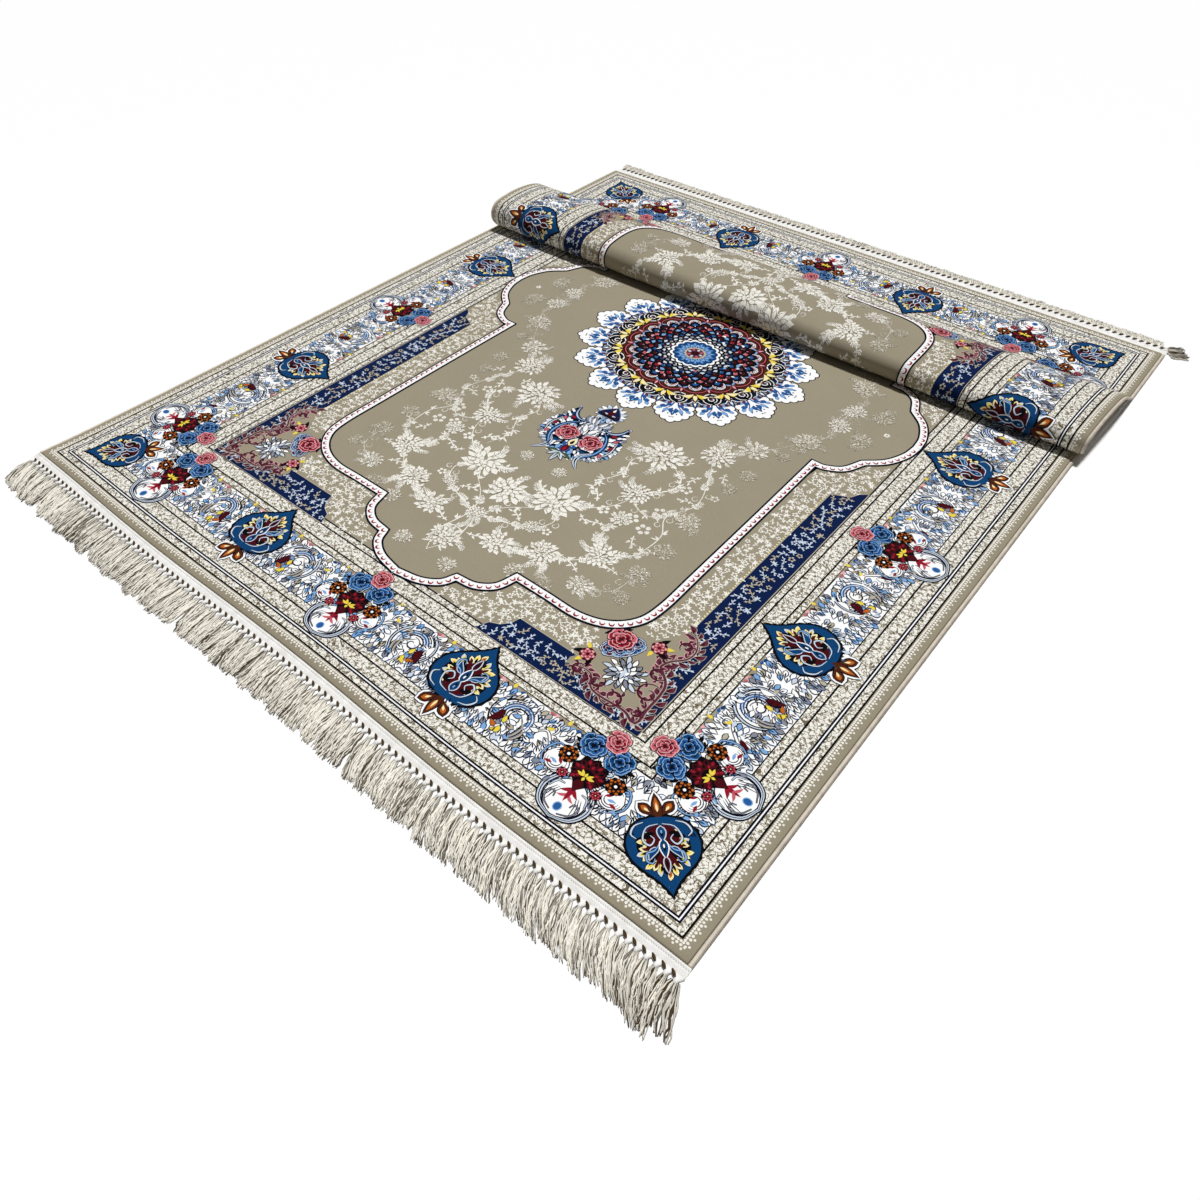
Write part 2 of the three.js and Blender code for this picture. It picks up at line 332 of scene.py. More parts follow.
def backingMaterial():
    material = newMaterial("carpet_back")
    tree = material.node_tree
    flat = node(tree, "ShaderNodeUVMap", uv_map="flatCloth").outputs[0]
    perPitch = 0.31   # scale of a wave texture whose bands are one unit apart
    weft, warp = [node(tree, "ShaderNodeTexWave", {"Vector": flat, "Scale": perPitch / (pitch * mm),
                                                   "Distortion": uneven}, bands_direction=way).outputs["Fac"]
                  for way, pitch, uneven in backing["threads"]]
    weave = sums(tree, "MULTIPLY", weft, warp)
    # the colour follows the weave's relief, darker where it is low: partly the threads' own pattern, partly
    # painted shade in the grooves between them
    colour = blendColours(tree, weave, linear("sand", backing["deep"]), linear("sand", backing["pale"]))
    finish(tree, colour, backing, weave, backing["relief"], backing["depth"])
    return material


def newPiece(name, mesh, materials):
    piece = bpy.data.objects.new(name, mesh)
    bpy.context.scene.collection.objects.link(piece)
    for material in materials:
        mesh.materials.append(material)
    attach(piece, "root")
    return piece


def meshFrom(name, points, faces, normals=None):
    mesh = bpy.data.meshes.new(name)
    mesh.from_pydata([tuple(p) for p in points], [], [tuple(f) for f in faces])
    mesh.update()
    mesh.shade_smooth()
    if normals is not None:
        mesh.normals_split_custom_set_from_vertices([tuple(n) for n in normals])
    return mesh


carpetBody = {"columns": 60, "edgeRound": 1.6}


def buildCarpet():
    inner = halfWidth - carpetBody["edgeRound"]
    xs = np.concatenate([[-halfWidth], np.linspace(-inner, inner, carpetBody["columns"] + 1), [halfWidth]])
    vs = np.sort(np.concatenate([vLines,
                                 [carpetBody["edgeRound"], cloth["length"] - carpetBody["edgeRound"]]]))
    gridV, gridX = np.meshgrid(vs, xs, indexing="ij")
    top = np.full(gridX.shape, float(halfThick))
    top[[0, -1], :] -= carpetBody["edgeRound"]
    top[:, [0, -1]] = halfThick - carpetBody["edgeRound"]
    rows, columns = gridX.shape
    upper = onCloth(gridX, gridV, top)[0].reshape(-1, 3)
    lower = onCloth(gridX, gridV, -halfThick)[0].reshape(-1, 3)
    at = np.arange(rows * columns).reshape(rows, columns)
    quads = np.stack([at[:-1, :-1], at[:-1, 1:], at[1:, 1:], at[1:, :-1]], -1).reshape(-1, 4)
    under = at + rows * columns
    backs = np.stack([under[:-1, :-1], under[1:, :-1], under[1:, 1:], under[:-1, 1:]], -1).reshape(-1, 4)
    walls = []
    for edge, back in ((at[0], under[0]), (at[-1][::-1], under[-1][::-1]),
                       (at[:, -1], under[:, -1]), (at[::-1, 0], under[::-1, 0])):
        walls.append(np.stack([edge[:-1], back[:-1], back[1:], edge[1:]], -1))
    faces = np.concatenate([quads, backs] + walls)
    mesh = meshFrom("carpet_cloth", np.concatenate([upper, lower]), faces)
    isBack = np.zeros(len(faces), int)
    isBack[len(quads):len(quads) + len(backs)] = 1
    mesh.polygons.foreach_set("material_index", isBack)
    flat = mesh.uv_layers.new(name="flatCloth")
    corners = np.empty(len(mesh.loops), int)
    mesh.loops.foreach_get("vertex_index", corners)
    design = np.stack([gridX.ravel(), gridV.ravel()], -1) * mm
    flat.data.foreach_set("uv", np.concatenate([design, design])[corners].ravel())
    return newPiece("carpet_cloth", mesh, [groundMaterial(), backingMaterial()])


carpetCloth = buildCarpet()
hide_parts("carpet")
print("carpet built")


# Drawings lie on the flat cloth in millimetres. Each is a list of shapes (outline, yarn, level), and a higher
# level lies on a lower one. The numbers in a figure are places and sizes of its own drawing.
# A turn of 0 points inwards (+y), and turns run anticlockwise in degrees.


def turnedPoints(points, turn):
    a = math.radians(turn)
    return points @ np.array([[math.cos(a), math.sin(a)], [-math.sin(a), math.cos(a)]])


def spoke(reach, turn, x=0, y=0):
    # the point at the end of a spoke from x, y
    return turnedPoints(np.array([[0, reach]]), turn)[0] + (x, y)


def heading(step):
    # the turn of something that points along a step
    return math.degrees(math.atan2(-step[0], step[1]))


def onSide(side, points):
    return [(side * x, y) for x, y in points]


def bothSides(half):
    # an outline from its right half, which runs from foot to tip
    return np.concatenate([half, (half[:-1] * (-1, 1))[::-1]])


def moved(drawing, x=0, y=0, turn=0, scale=1, flip=False, up=0):
    side = np.array([-1 if flip else 1, 1])
    return [(turnedPoints(outline * side * scale, turn) + (x, y), yarn, level + up)
            for outline, yarn, level in drawing]


def flipped(drawing):
    return [(outline * (-1, 1), yarn, level) for outline, yarn, level in drawing]


def oval(x, y, across, along=None, turn=0, count=14):
    a = np.linspace(0, 2 * np.pi, count, endpoint=False)
    ring = np.stack([np.cos(a) * across / 2, np.sin(a) * (along or across) / 2], -1)
    return turnedPoints(ring, turn) + (x, y)


def petal(x, y, length, width, turn=0, bend=0, blunt=0.6, count=6):
    # from its foot at x, y to a pointed tip; blunt under 1 makes the foot round
    t = np.linspace(0, 1, count + 1)
    half = width / 2 * np.sin(np.pi * t ** blunt)
    middle = bend * 4 * t * (1 - t)
    right = np.stack([middle + half, t * length], -1)
    left = np.stack([middle - half, t * length], -1)
    return turnedPoints(np.concatenate([right, left[-2:0:-1]]), turn) + (x, y)


def scallops(x, y, radius, bump, count, per=5, turn=0):
    a = np.linspace(0, 2 * np.pi, count * per, endpoint=False)
    r = radius + bump * np.abs(np.sin(count * a / 2)) ** 0.7
    return turnedPoints(np.stack([r * np.sin(a), r * np.cos(a)], -1), turn) + (x, y)


def smooth(points, per=5, closed=False):
    # a soft line through the points
    p = np.array(points, float)
    ends = (p[-1:], p[:2]) if closed else (2 * p[:1] - p[1:2], 2 * p[-1:] - p[-2:-1])
    rows = np.concatenate([ends[0], p, ends[1]])
    made = []
    for a, b, c, d in zip(rows, rows[1:], rows[2:], rows[3:]):
        bowed, twisted = 2 * a - 5 * b + 4 * c - d, 3 * b - a - 3 * c + d
        made += [0.5 * (2 * b + (c - a) * t + bowed * t * t + twisted * t ** 3) for t in np.arange(per) / per]
    return np.array(made if closed else made + [p[-1]])


def sideways(path, closed=False):
    step = (np.roll(path, -1, 0) - np.roll(path, 1, 0)) if closed else np.gradient(path, axis=0)
    step = step / np.maximum(np.linalg.norm(step, axis=1), 1e-9)[:, None]
    return np.stack([step[:, 1], -step[:, 0]], -1)


def grown(outline, by):
    area = np.sum(outline[:, 0] * np.roll(outline[:, 1], -1) - np.roll(outline[:, 0], -1) * outline[:, 1])
    return outline + sideways(outline, True) * by * (1 if area > 0 else -1)


def ribbon(path, *widths):
    # a stroke along an open path, its widths spread evenly from start to end
    path = np.array(path, float)
    t = np.linspace(0, 1, len(path))
    half = np.interp(t, np.linspace(0, 1, len(widths)), widths) / 2
    side = sideways(path) * half[:, None]
    return np.concatenate([path + side, (path - side)[::-1]])


def spiral(x, y, outer, inner, start, sweep, count=24):
    a = np.radians(np.linspace(start, start + sweep, count))
    r = np.linspace(outer, inner, count)
    return np.stack([x + r * np.cos(a), y + r * np.sin(a)], -1)


def edged(outline, yarn, edge, by, level):
    return [(grown(outline, by), edge, level), (outline, yarn, level + 1)]


def blossom(size, look, petals=8, level=0, rows=2, turn=0):
    # an open flower: look is the outline, the petals' yarn, their light tips and the heart
    edge, (fill, light), heart = look
    made = [(scallops(0, 0, size * 0.40, size * 0.13, petals, 4, turn), edge, level)]
    for row in range(rows):
        reach = size * (0.5, 0.34)[row]
        wide = 2 * np.pi * reach * 0.66 / petals * 1.04
        for k in range(petals):
            a = turn + 360 * (k + row / 2) / petals
            foot, middle = spoke(reach * 0.28, a), spoke(reach * 0.62, a)
            up = level + 1 + 3 * row
            made.append((petal(*foot, reach * 0.74, wide * 1.12, a, blunt=1.1, count=4), edge, up))
            made.append((petal(*foot, reach * 0.66, wide * 0.86, a, blunt=1.1, count=4), fill, up + 1))
            made.append((petal(*middle, reach * 0.33, wide * 0.55, a, blunt=0.8, count=3), light, up + 2))
    made.append((oval(0, 0, size * 0.19, count=8), edge, level + 1 + 3 * rows))
    return made + [(oval(0, 0, size * 0.11, count=6), heart, level + 2 + 3 * rows)]


def openRose(size, look, seed, level=0):
    # ragged petals that overlap round a small heart: look is the edge, the petals' yarns and their light rims
    edge, fills, light = look
    picker = random.Random(seed)
    made = [(scallops(0, 0, size * 0.3, size * 0.05, 7, 3), edge, level)]
    for row, (reach, count, long) in enumerate(((0.52, 7, 0.36), (0.36, 6, 0.28), (0.21, 4, 0.22))):
        for k in range(count):
            turn = 360 * (k + row / 2) / count + picker.uniform(-12, 12)
            wide = 2 * math.pi * (reach - 0.08) * size / count * picker.uniform(0.95, 1.2)
            tip = size * reach * picker.uniform(0.88, 1.08)
            foot = spoke(tip - long * size, turn)
            leaf = petal(*foot, long * size, wide, turn, blunt=1.9, count=5)
            up = level + 1 + 3 * row
            made += edged(leaf, light, edge, size * 0.02 + 0.4, up)
            inner = petal(*foot, long * size * 0.9, wide * 0.82, turn, blunt=1.7, count=4)
            made.append((inner, fills[picker.randrange(len(fills))], up + 2))
            fold = petal(*foot, long * size * 0.7, wide * 0.42, turn + picker.uniform(-14, 14), count=3)
            made.append((fold, edge, up + 3))
    return made


def palmette():
    # large blue palmette, tip inwards; its foot is at y -50 and its tip at y 78
    half = [(12, -52), (36, -44), (53, -22), (56, 0), (49, 20), (34, 37), (18, 52), (8, 65), (0, 78)]
    outline = bothSides(smooth(half, 3))
    ragged = outline + sideways(outline, True) * (0.9 * (-1) ** np.arange(len(outline)))[:, None]
    made = [(grown(ragged, 1.6), "black", 6), (grown(outline, -2.4), "petrol", 7)]
    made.append((outline * (0.7, 0.6) + (0, 1), "black", 8))
    for row, (count, out, long, wide) in enumerate(((19, 46, 19, 8.4), (15, 34, 16, 7.4))):
        for k in range(count):
            turn = -138 + 276 * k / (count - 1)
            shorter = (8 - 3 * row) * (1 - math.cos(math.radians(turn))) / 2 + (k % 2) * 5
            reach = out - shorter + (10 if k == count // 2 else 0)
            foot = spoke(reach - long, turn, 0, 1)
            lean = (k % 3 - 1) * 2
            leaf = petal(*foot, long, wide, turn, bend=lean, blunt=1.5, count=5)
            made += edged(leaf, "cream" if k % 4 else "mist", "black", 1.3, 8)
            fold = petal(*foot, long * 0.8, wide * 0.6, turn, bend=lean, blunt=1.4, count=4)
            made.append((fold, ("yellow", "orange", "yellow", "brown")[k % 4], 10))
            made.append((petal(*foot, long * 0.62, wide * 0.5, turn, blunt=0.9, count=3),
                         "maroon" if k % 2 else "black", 11))
    core = bothSides(smooth([(5, -36), (19, -30), (25, -8), (22, 10), (13, 22), (6, 30), (0, 38)], 3))
    made.append((core, "maroon", 12))
    for side in (1, -1):
        made.append((petal(side * 6, -4, 32, 11, side * -30, blunt=0.9), "black", 13))
        made.append((petal(side * 10, -24, 24, 11, side * -70, blunt=0.9), "black", 13))
        for points, yarn in (([(3, -38), (21, -33), (29, -14), (20, -4), (12, -13), (17, -20)], "mist"),
                             ([(2, -12), (14, 4), (26, 8), (28, 20), (20, 24), (16, 17)], "skyBlue"),
                             ([(24, -42), (38, -37), (45, -24), (38, -16)], "mist")):
            arm = smooth(onSide(side, points), 3)
            made += [(ribbon(arm, 2, 5.4, 2), "ink", 14), (ribbon(arm, 1, 3, 1), yarn, 15)]
        made += moved(edged(petal(side * 8, 0, 25, 9, side * -40, bend=side * 3, blunt=0.7), "petrol",
                            "mist", 1.4, 0), up=14)
    for y, length, width, yarn, edge in ((-34, 24, 12, "petrol", "mist"), (-13, 30, 12, "petrol", "white"),
                                         (15, 25, 8, "maroon", "mist")):
        made += moved(edged(petal(0, y, length, width, 0, blunt=0.75), yarn, edge, 1.7, 0), up=16)
        made.append((petal(0, y + 5, length * 0.55, width * 0.42, 0, blunt=0.8, count=4), "ink", 18))
    made += [(oval(0, -2, 3, 7, count=7), "white", 19), (oval(0, -25, 3, 6, count=7), "skyBlue", 19)]
    return made + bud()


def bud():
    # three brown drops on a white ground, outside the palmette's foot
    places = ((0, -44, 46, 15, 180, 0.75), (6, -52, 30, 16, 222, 1.4), (-6, -52, 30, 16, 138, 1.4))
    drops = [petal(x, y, length, width, turn, blunt=blunt) for x, y, length, width, turn, blunt in places]
    layers = ((6.4, "ink", 4), (5.0, "white", 5), (1.6, "ink", 6), (0, "brown", 7))
    made = [(grown(drop, grow), yarn, level) for grow, yarn, level in layers for drop in drops]
    for x, y, length, width, turn, blunt in places:
        foot = spoke(length * 0.3, turn, x, y)
        made += [(petal(*foot, length * 0.55, width * 0.55, turn, blunt=blunt, count=5), "orange", 8),
                 (petal(*foot, length * 0.36, width * 0.26, turn, blunt=blunt, count=4), "cream", 9)]
    return made


def roseCluster():
    # dark rose at 0, 0 between blue flowers, a pink flower inwards and a lobed cartouche outwards
    made = []
    for side in (1, -1):
        path = smooth(onSide(side, [(-1, -84), (26, -74), (37, -50), (29, -26), (14, -14)]), 4)
        made += [(ribbon(path, 7, 10, 6), "ink", 5), (ribbon(path, 3, 6, 3), "mist", 6),
                 (ribbon(path, 0.8, 1.6, 0.6), "ink", 7)]
        made += moved(edged(oval(side * 47, -12, 40, 34, side * 16), "white", "ink", 1.6, 3))
        for r, sweep in ((17, 215), (13.5, 180), (9.5, 240)):
            curl = spiral(side * 47, -12, r, r - 2, 90 - 90 * side, side * -sweep, 14)
            made.append((ribbon(curl, 0.6, 1.7, 0.7), "ink", 5))
        for k in range(4):
            foot = (side * (38 + 6 * k), -12 - 3 * k)
            made.append((petal(*foot, 13, 5, side * (-50 - 25 * k), blunt=0.9, count=4),
                         ("red", "skyBlue", "red", "skyBlue")[k], 5))
        for grow in (0, 7):
            hook = smooth(onSide(side, [(22 + grow, -2 + grow), (54 + grow, 8 + grow), (64 + grow, -14),
                                        (48, -32 - grow)]), 4)
            made += [(ribbon(hook, 2, 5, 1.5), "ink", 4),
                     (ribbon(hook, 0.8, 2.6, 0.5), "skyBlue" if grow else "white", 5)]
    lobe = smooth([(0, -80), (22, -70), (30, -50), (22, -30), (0, -18), (-22, -30), (-30, -50), (-22, -70)],
                  3, True)
    made += edged(lobe, "white", "ink", 1.5, 6)
    made += [(petal(0, -24, 32, 8, 180, blunt=0.8), "red", 8)]
    for side in (1, -1):
        made.append((petal(0, -30, 20, 6, 180 + side * 50, blunt=0.8, bend=side * 2), "red", 8))
        made.append((petal(0, -42, 17, 5, 180 + side * 58, blunt=0.8, bend=side * 2), "rose", 8))
    made += edged(oval(0, -66, 10, 12, count=10), "blue", "skyBlue", 1.6, 8)
    for side in (1, -1):
        made += moved(blossom(29, ("black", ("brown", "orange"), "white"), 7, 0), side * 41, 8, 15, up=7)
        made += [(oval(side * 41, 8, 13, count=8), "black", 15),
                 (oval(side * 41, 8, 5, count=7), "white", 16)]
        made += drawnLine(smooth(onSide(side, [(6, -76), (22, -68), (26, -54), (17, -50), (14, -58)]), 3),
                          1.6, "grey", "ink", 8, 0.9)
        made += drawnLine(smooth(onSide(side, [(30, -48), (25, -34), (14, -32)]), 3), 2, "mist", "ink", 8, 1)
        made += moved(blossom(17, ("ink", ("red", "rose"), "cream"), 6, 0), side * 29, -21, 10, up=8)
        made += moved(openRose(43, ("ink", ("blue", "petrol", "blue"), "skyBlue"), 4 + side), side * 22, 42,
                      8, up=9)
    made += moved(openRose(38, ("maroon", ("rose", "red", "rose"), "pink"), 7), 0, 69, 0, up=11)
    for side in (1, -1):
        for x, y, turn in ((17, 60, -70), (32, 24, -60), (38, 36, -80), (32, 54, -50), (42, 18, -100),
                           (8, 24, -20)):
            made.append((petal(side * x, y, 15, 7, side * turn, count=4), "black", 8))
        for r in (26, 22, 18):
            made.append((ribbon(onSide(side, [(r + 3, -66 + 8 * math.sin(r)), (r, -52), (r - 6, -40)]), 0.6,
                                1.8, 0.6), "ink", 8))
    rose = bothSides(smooth([(0, -34), (12, -18), (18, -14), (27, 2), (21, 10), (19, 21), (8, 21), (0, 27)],
                            3))
    made += edged(rose, "black", "black", 1.2, 12)
    for row, (reach, long, count) in enumerate(((26, 17, 11), (18, 13, 9))):
        for k in range(count):
            turn = -130 + 260 * k / (count - 1)
            foot = spoke(reach - long, turn, 0, -2)
            made.append((petal(*foot, long, 9.5, turn, blunt=1.2, count=4), "maroon", 14 + row))
            tip = spoke(reach - long * 0.6, turn, 0, -2)
            made.append((petal(*tip, long * 0.5, 4.4, turn, blunt=0.9, count=3), ("red", "black")[k % 2],
                         15 + row))
    made.append((petal(0, -12, 22, 16, 180, blunt=0.9, count=4), "maroon", 14))
    made.append((oval(0, -3, 21, 17, count=10), "black", 17))
    for x, turn, length in ((3, -75, 12), (2, -40, 12), (0, 0, 8), (-2, 40, 12), (-3, 75, 12), (0, 180, 7)):
        made.append((petal(x, -8, length, 4.6, turn, blunt=0.9, count=4), "yellow", 18))
    return made


def drawnLine(path, width, fill="white", edge="ink", level=0, rim=1.5):
    # a stroke with an outline, narrow at both ends
    inner = np.array([0.35, 1, 1, 0.3]) * width
    return [(ribbon(path, *(inner + 2 * rim)), edge, level), (ribbon(path, *inner), fill, level + 1)]


def leafCluster(picker, columns=4, rows=3):
    # small leaves that overlap like feathers, with dark outlines and folds
    made = []
    for row in range(rows):
        for k in range(columns):
            foot = (9 * k - 4.5 * columns + 4 * (row % 2) + picker.uniform(-1, 1),
                    8.5 * (rows - row) - 4 * rows)
            turn = 180 + 14 * (k - columns / 2) + picker.uniform(-14, 14)
            fill = ("white", "mist", "white", "sand", "white", "skyBlue", "grey",
                    "white")[picker.randrange(8)]
            leaf = petal(*foot, 14, 7.6, turn, blunt=1.3, count=4)
            made += edged(leaf, fill, ("ink", "black", "petrol")[(row + k) % 3], 1.5, 2 * row)
            if picker.random() < 0.6:
                made.append((petal(*foot, 10, 2.6, turn, blunt=1, count=3), "petrol" if fill == "skyBlue"
                             else "ink", 2 * row + 2))
    return made


def swirl():
    # one scroll of the main border; the nearest palmette is on its left
    made = [(oval(0, 0, 84, 82, 0, 24), "white", 2)]
    made += drawnLine(spiral(0, 0, 39, 36, -75, 320, 34), 2.8, "mist", "ink", 3, 2.2)
    made += drawnLine(spiral(0, 0, 31, 29, 95, 130, 18), 2.4, "white", "ink", 5, 1.9)
    for k in range(11):
        foot = spoke(19.0, 33 * k)
        leaf = petal(*foot, 14, 7, 33 * k + 44, bend=-2, blunt=1.1, count=4)
        made += edged(leaf, ("white", "mist", "white", "skyBlue", "grey")[k % 5], "ink", 1.1, 4)
    made.append((ribbon(spiral(2, 1, 25, 19, -30, 265, 26), 1, 5, 6, 3), "mist", 6))
    made.append((ribbon(spiral(2, 1, 23.5, 19, -20, 240, 26), 1, 2, 2.6, 1), "skyBlue", 7))
    for start, end, yarn in ((28.5, 23, "petrol"), (20, 13.5, "ink"), (24, 19, "blue")):
        made.append((ribbon(spiral(2, 1, start, end, -34, 290, 26), 0.9, 2.5, 2.5, 0.9), yarn, 8))
    made.append((ribbon(spiral(3, 0, 14, 3, 70, 400, 24), 1.2, 2.6, 1.2), "ink", 8))
    for k in range(7):
        path = smooth([(4 + 2.2 * k, 11 - 2.4 * k), (17 + 2 * k, -2 - 2.2 * k),
                       (15 + 1.4 * k, -24 - 1.2 * k), (6 + k, -36)], 3)
        made.append((ribbon(path, 0.6, 2.4, 0.8), ("ink", "grey", "sand")[k % 3], 8))
    made += edged(petal(-18, 2, 30, 12, 158, bend=-3, blunt=0.8), "maroon", "ink", 1.6, 9)
    made += edged(petal(-30, 18, 24, 9, 168, bend=-3, blunt=0.8), "white", "ink", 1.3, 9)
    for x, y, turn, yarn in ((-6, -24, 190, "yellow"), (-2, -30, 120, "yellow"), (-12, -30, 60, "orange"),
                             (-7, -17, 10, "yellow")):
        made += edged(petal(x, y, 14, 7, turn, blunt=0.8), yarn, "ink", 1.0, 10)
    made += drawnLine(spiral(54, 22, 10.5, 7, -50, 300, 16), 3, "white", "ink", 5, 1.3)
    made.append((petal(48, 18, 13, 6, -55, bend=2), "yellow", 8))
    made += drawnLine(smooth([(40, 6), (52, 14), (66, 2), (82, -20), (80, -36), (68, -30), (66, -16)], 3),
                      3.4, "white", "ink", 5, 1.4)
    made += edged(petal(62, -4, 26, 9, 205, bend=3, blunt=0.8), "white", "grey", 1.2, 4)
    made.append((petal(68, -8, 22, 8, 208, blunt=0.8), "maroon", 7))
    for k in range(4):
        made += edged(petal(-34 - 5 * k, -26 - 3 * k, 20, 9, 150 + 22 * k, blunt=0.8), "white", "ink", 1.2, 1)
    return made


def innerPatch():
    # a taupe shield that hangs from the inner band, with small flowers on it
    shield = smooth([(-42, 47), (-30, 43), (-16, 40), (-8, 30), (0, 24), (8, 30), (16, 40), (30, 43),
                     (42, 47)], 3)
    made = [(shield, "taupe", 3)]
    for x, y, turn, yarn in ((-22, 44, 80, "rose"), (-14, 44, 60, "pink"), (-7, 38, 20, "maroon"),
                             (8, 38, -30, "skyBlue"),
                             (16, 44, -70, "blue"), (24, 44, -90, "petrol"), (0, 31, 0, "mist"),
                             (3, 44, 0, "yellow")):
        made.append((petal(x, y - 3, 11, 6, turn, blunt=0.8, count=4), yarn, 4))
    return made


def sprig(size, yarn, level, kind):
    # a small flower or leafy twig drawn in one yarn
    if kind == 0:
        return [(oval(*spoke(size * 0.24, 72 * k), size * 0.25, count=6), yarn, level) for k in range(5)]
    if kind == 1:
        made = [(petal(0, 0, size * 0.5, size * 0.2, t, bend=size * 0.04, count=3), yarn, level)
                for t in (0, 50, -50, 95, -95)]
        return made + [(ribbon([(0, 0), (size * 0.06, -size * 0.45)], size * 0.09), yarn, level)]
    path = smooth([(-size * 0.3, -size * 0.55), (0, 0), (size * 0.12, size * 0.55)], 2)
    made = [(ribbon(path, size * 0.09), yarn, level)]
    for k, turn in enumerate((70, -60, 55, -40, 5) if kind == 2 else (60, -70, 30, -45)):
        made.append((petal(0, size * (0.22 * k - 0.4), size * 0.42, size * 0.18, turn, count=3), yarn, level))
    return made


def insideOf(points, outline):
    x, y = points[:, 0:1], points[:, 1:2]
    ax, ay = outline[:, 0], outline[:, 1]
    bx, by = np.roll(ax, -1), np.roll(ay, -1)
    crosses = (ay > y) != (by > y)
    reach = ax + (y - ay) / np.where(by == ay, 1e-9, by - ay) * (bx - ax)
    return (crosses & (x < reach)).sum(1) % 2 == 1


# where the border's figures stand in one quarter of the carpet: how far their middles lie from the edge,
# their places along the end (from the middle line) and the side (from the end), and their lowest level
border = {
    "palmette": {"depth": 141, "end": (245,), "side": (532,), "up": 20},
    "rose": {"depth": 129, "end": (490,), "side": (236, 830), "up": 20},
    "swirl": {"depth": 133, "end": (140, 350), "side": (385, 684, 976), "up": 6},
    "patch": {"depth": 133, "end": (62, 182, 310, 415), "side": (320, 440, 622, 740, 900, 1046), "up": 0},
    "cornerPalmette": (108, 106, -135, 0.9),
    "leafPitch": 33, "leafLean": 25,
    "leafRows": ((100, 0, 3), (131, 90, 2), (161, 180, 2)),
          # from the edge, turn and rows of leaves in a cluster
}


def borderQuarter():
    # figures of the near right quarter; x runs from the middle line to the edge, v from the end
    made = []
    draws = {"palmette": palmette, "rose": roseCluster, "swirl": swirl, "patch": innerPatch}
    for stretch in ("end", "side"):
        for name, draw in draws.items():
            look = border[name]
            for k, along in enumerate(look[stretch]):
                inward = (along, look["depth"], 0)
                if stretch != "end":
                    inward = (halfWidth - look["depth"], along, 90)
                made += moved(draw(), *inward, flip=name == "swirl" and k % 2 == 0, up=look["up"])
    x, v, turn, scale = border["cornerPalmette"]
    return made + moved(palmette(), halfWidth - x, v, turn, scale, up=border["palmette"]["up"])


def borderEndMiddle():
    return moved(roseCluster(), 0, border["rose"]["depth"], up=border["rose"]["up"])


def borderSideMiddle():
    look = border["palmette"]
    return moved(palmette(), halfWidth - look["depth"], cloth["length"] / 2, 90, up=look["up"])


def borderLeaves():
    # feathered leaves on the white ground, in rows along each stretch of the border
    picker = random.Random(3)
    made = []
    pitch, lean = border["leafPitch"], border["leafLean"]
    for depth, turn, rows in border["leafRows"]:
        for x in np.arange(pitch / 2, halfWidth - depth + 10, pitch):
            made += moved(leafCluster(picker, 4, rows), x, depth, turn + picker.uniform(-lean, lean))
        for v in np.arange(depth + pitch, cloth["length"] / 2, pitch):
            made += moved(leafCluster(picker, 4, rows), halfWidth - depth, v,
                          turn + 90 + picker.uniform(-lean, lean))
    return made


# the outline of the field, for one quarter, from the middle of the end lobe to the middle of the side lobe;
# each row is one curve, and the curves meet in corners
fieldCurves = [
    [(0, 228), (46, 238), (76, 258), (88, 284)],
    [(88, 284), (124, 290), (152, 313), (163, 351)],
    [(163, 351), (230, 351), (292, 351), (341, 368), (374, 404), (385, 455), (385, 560), (384, 760),
     (382, 952)],
    [(382, 952), (404, 954), (434, 974), (452, 1014)],
    [(452, 1014), (484, 1046), (503, 1088), (508, 1125)],
]
fieldBand = {"white": 13, "edge": 3.4, "markPitch": 15}


def fieldLine():
    rows = [smooth(curve, 5) for curve in fieldCurves]
    return np.concatenate([row[:-1] for row in rows[:-1]] + [rows[-1]])


def mitred(path, by):
    # a line beside the path that keeps its distance at corners too
    step = np.diff(path, axis=0)
    step = step / np.linalg.norm(step, axis=1)[:, None]
    before, after = np.concatenate([step[:1], step]), np.concatenate([step, step[-1:]])
    normal = np.stack([before[:, 1] + after[:, 1], -before[:, 0] - after[:, 0]], -1)
    normal = normal / np.linalg.norm(normal, axis=1)[:, None]
    square = np.stack([after[:, 1], -after[:, 0]], -1)
    return path + normal * by / np.maximum(np.sum(normal * square, 1), 0.5)[:, None]


def strip(path, inner, outer):
    return np.concatenate([mitred(path, inner), mitred(path, outer)[::-1]])


def fieldFrame():
    path = fieldLine()
    half, edge = fieldBand["white"] / 2, fieldBand["edge"]
    made = [(strip(path, -half - edge, half + edge), "ink", 0), (strip(path, -half, half), "white", 1)]
    lengths = np.concatenate([[0], np.cumsum(np.linalg.norm(np.diff(path, axis=0), axis=1))])
    for s in np.arange(fieldBand["markPitch"] / 2, lengths[-1], fieldBand["markPitch"]):
        (beforeX, x, afterX), (beforeY, y, afterY) = (np.interp((s - 1, s, s + 1), lengths, row)
                                                      for row in path.T)
        turn = math.degrees(math.atan2(afterY - beforeY, afterX - beforeX))
        cup = ribbon(smooth([(-4.4, 3), (-3, -2.4), (2, -3), (4.4, 1.5)], 3), 1, 4.2, 1)
        made += moved([(cup, "red", 2)], x, y, turn)
    return made


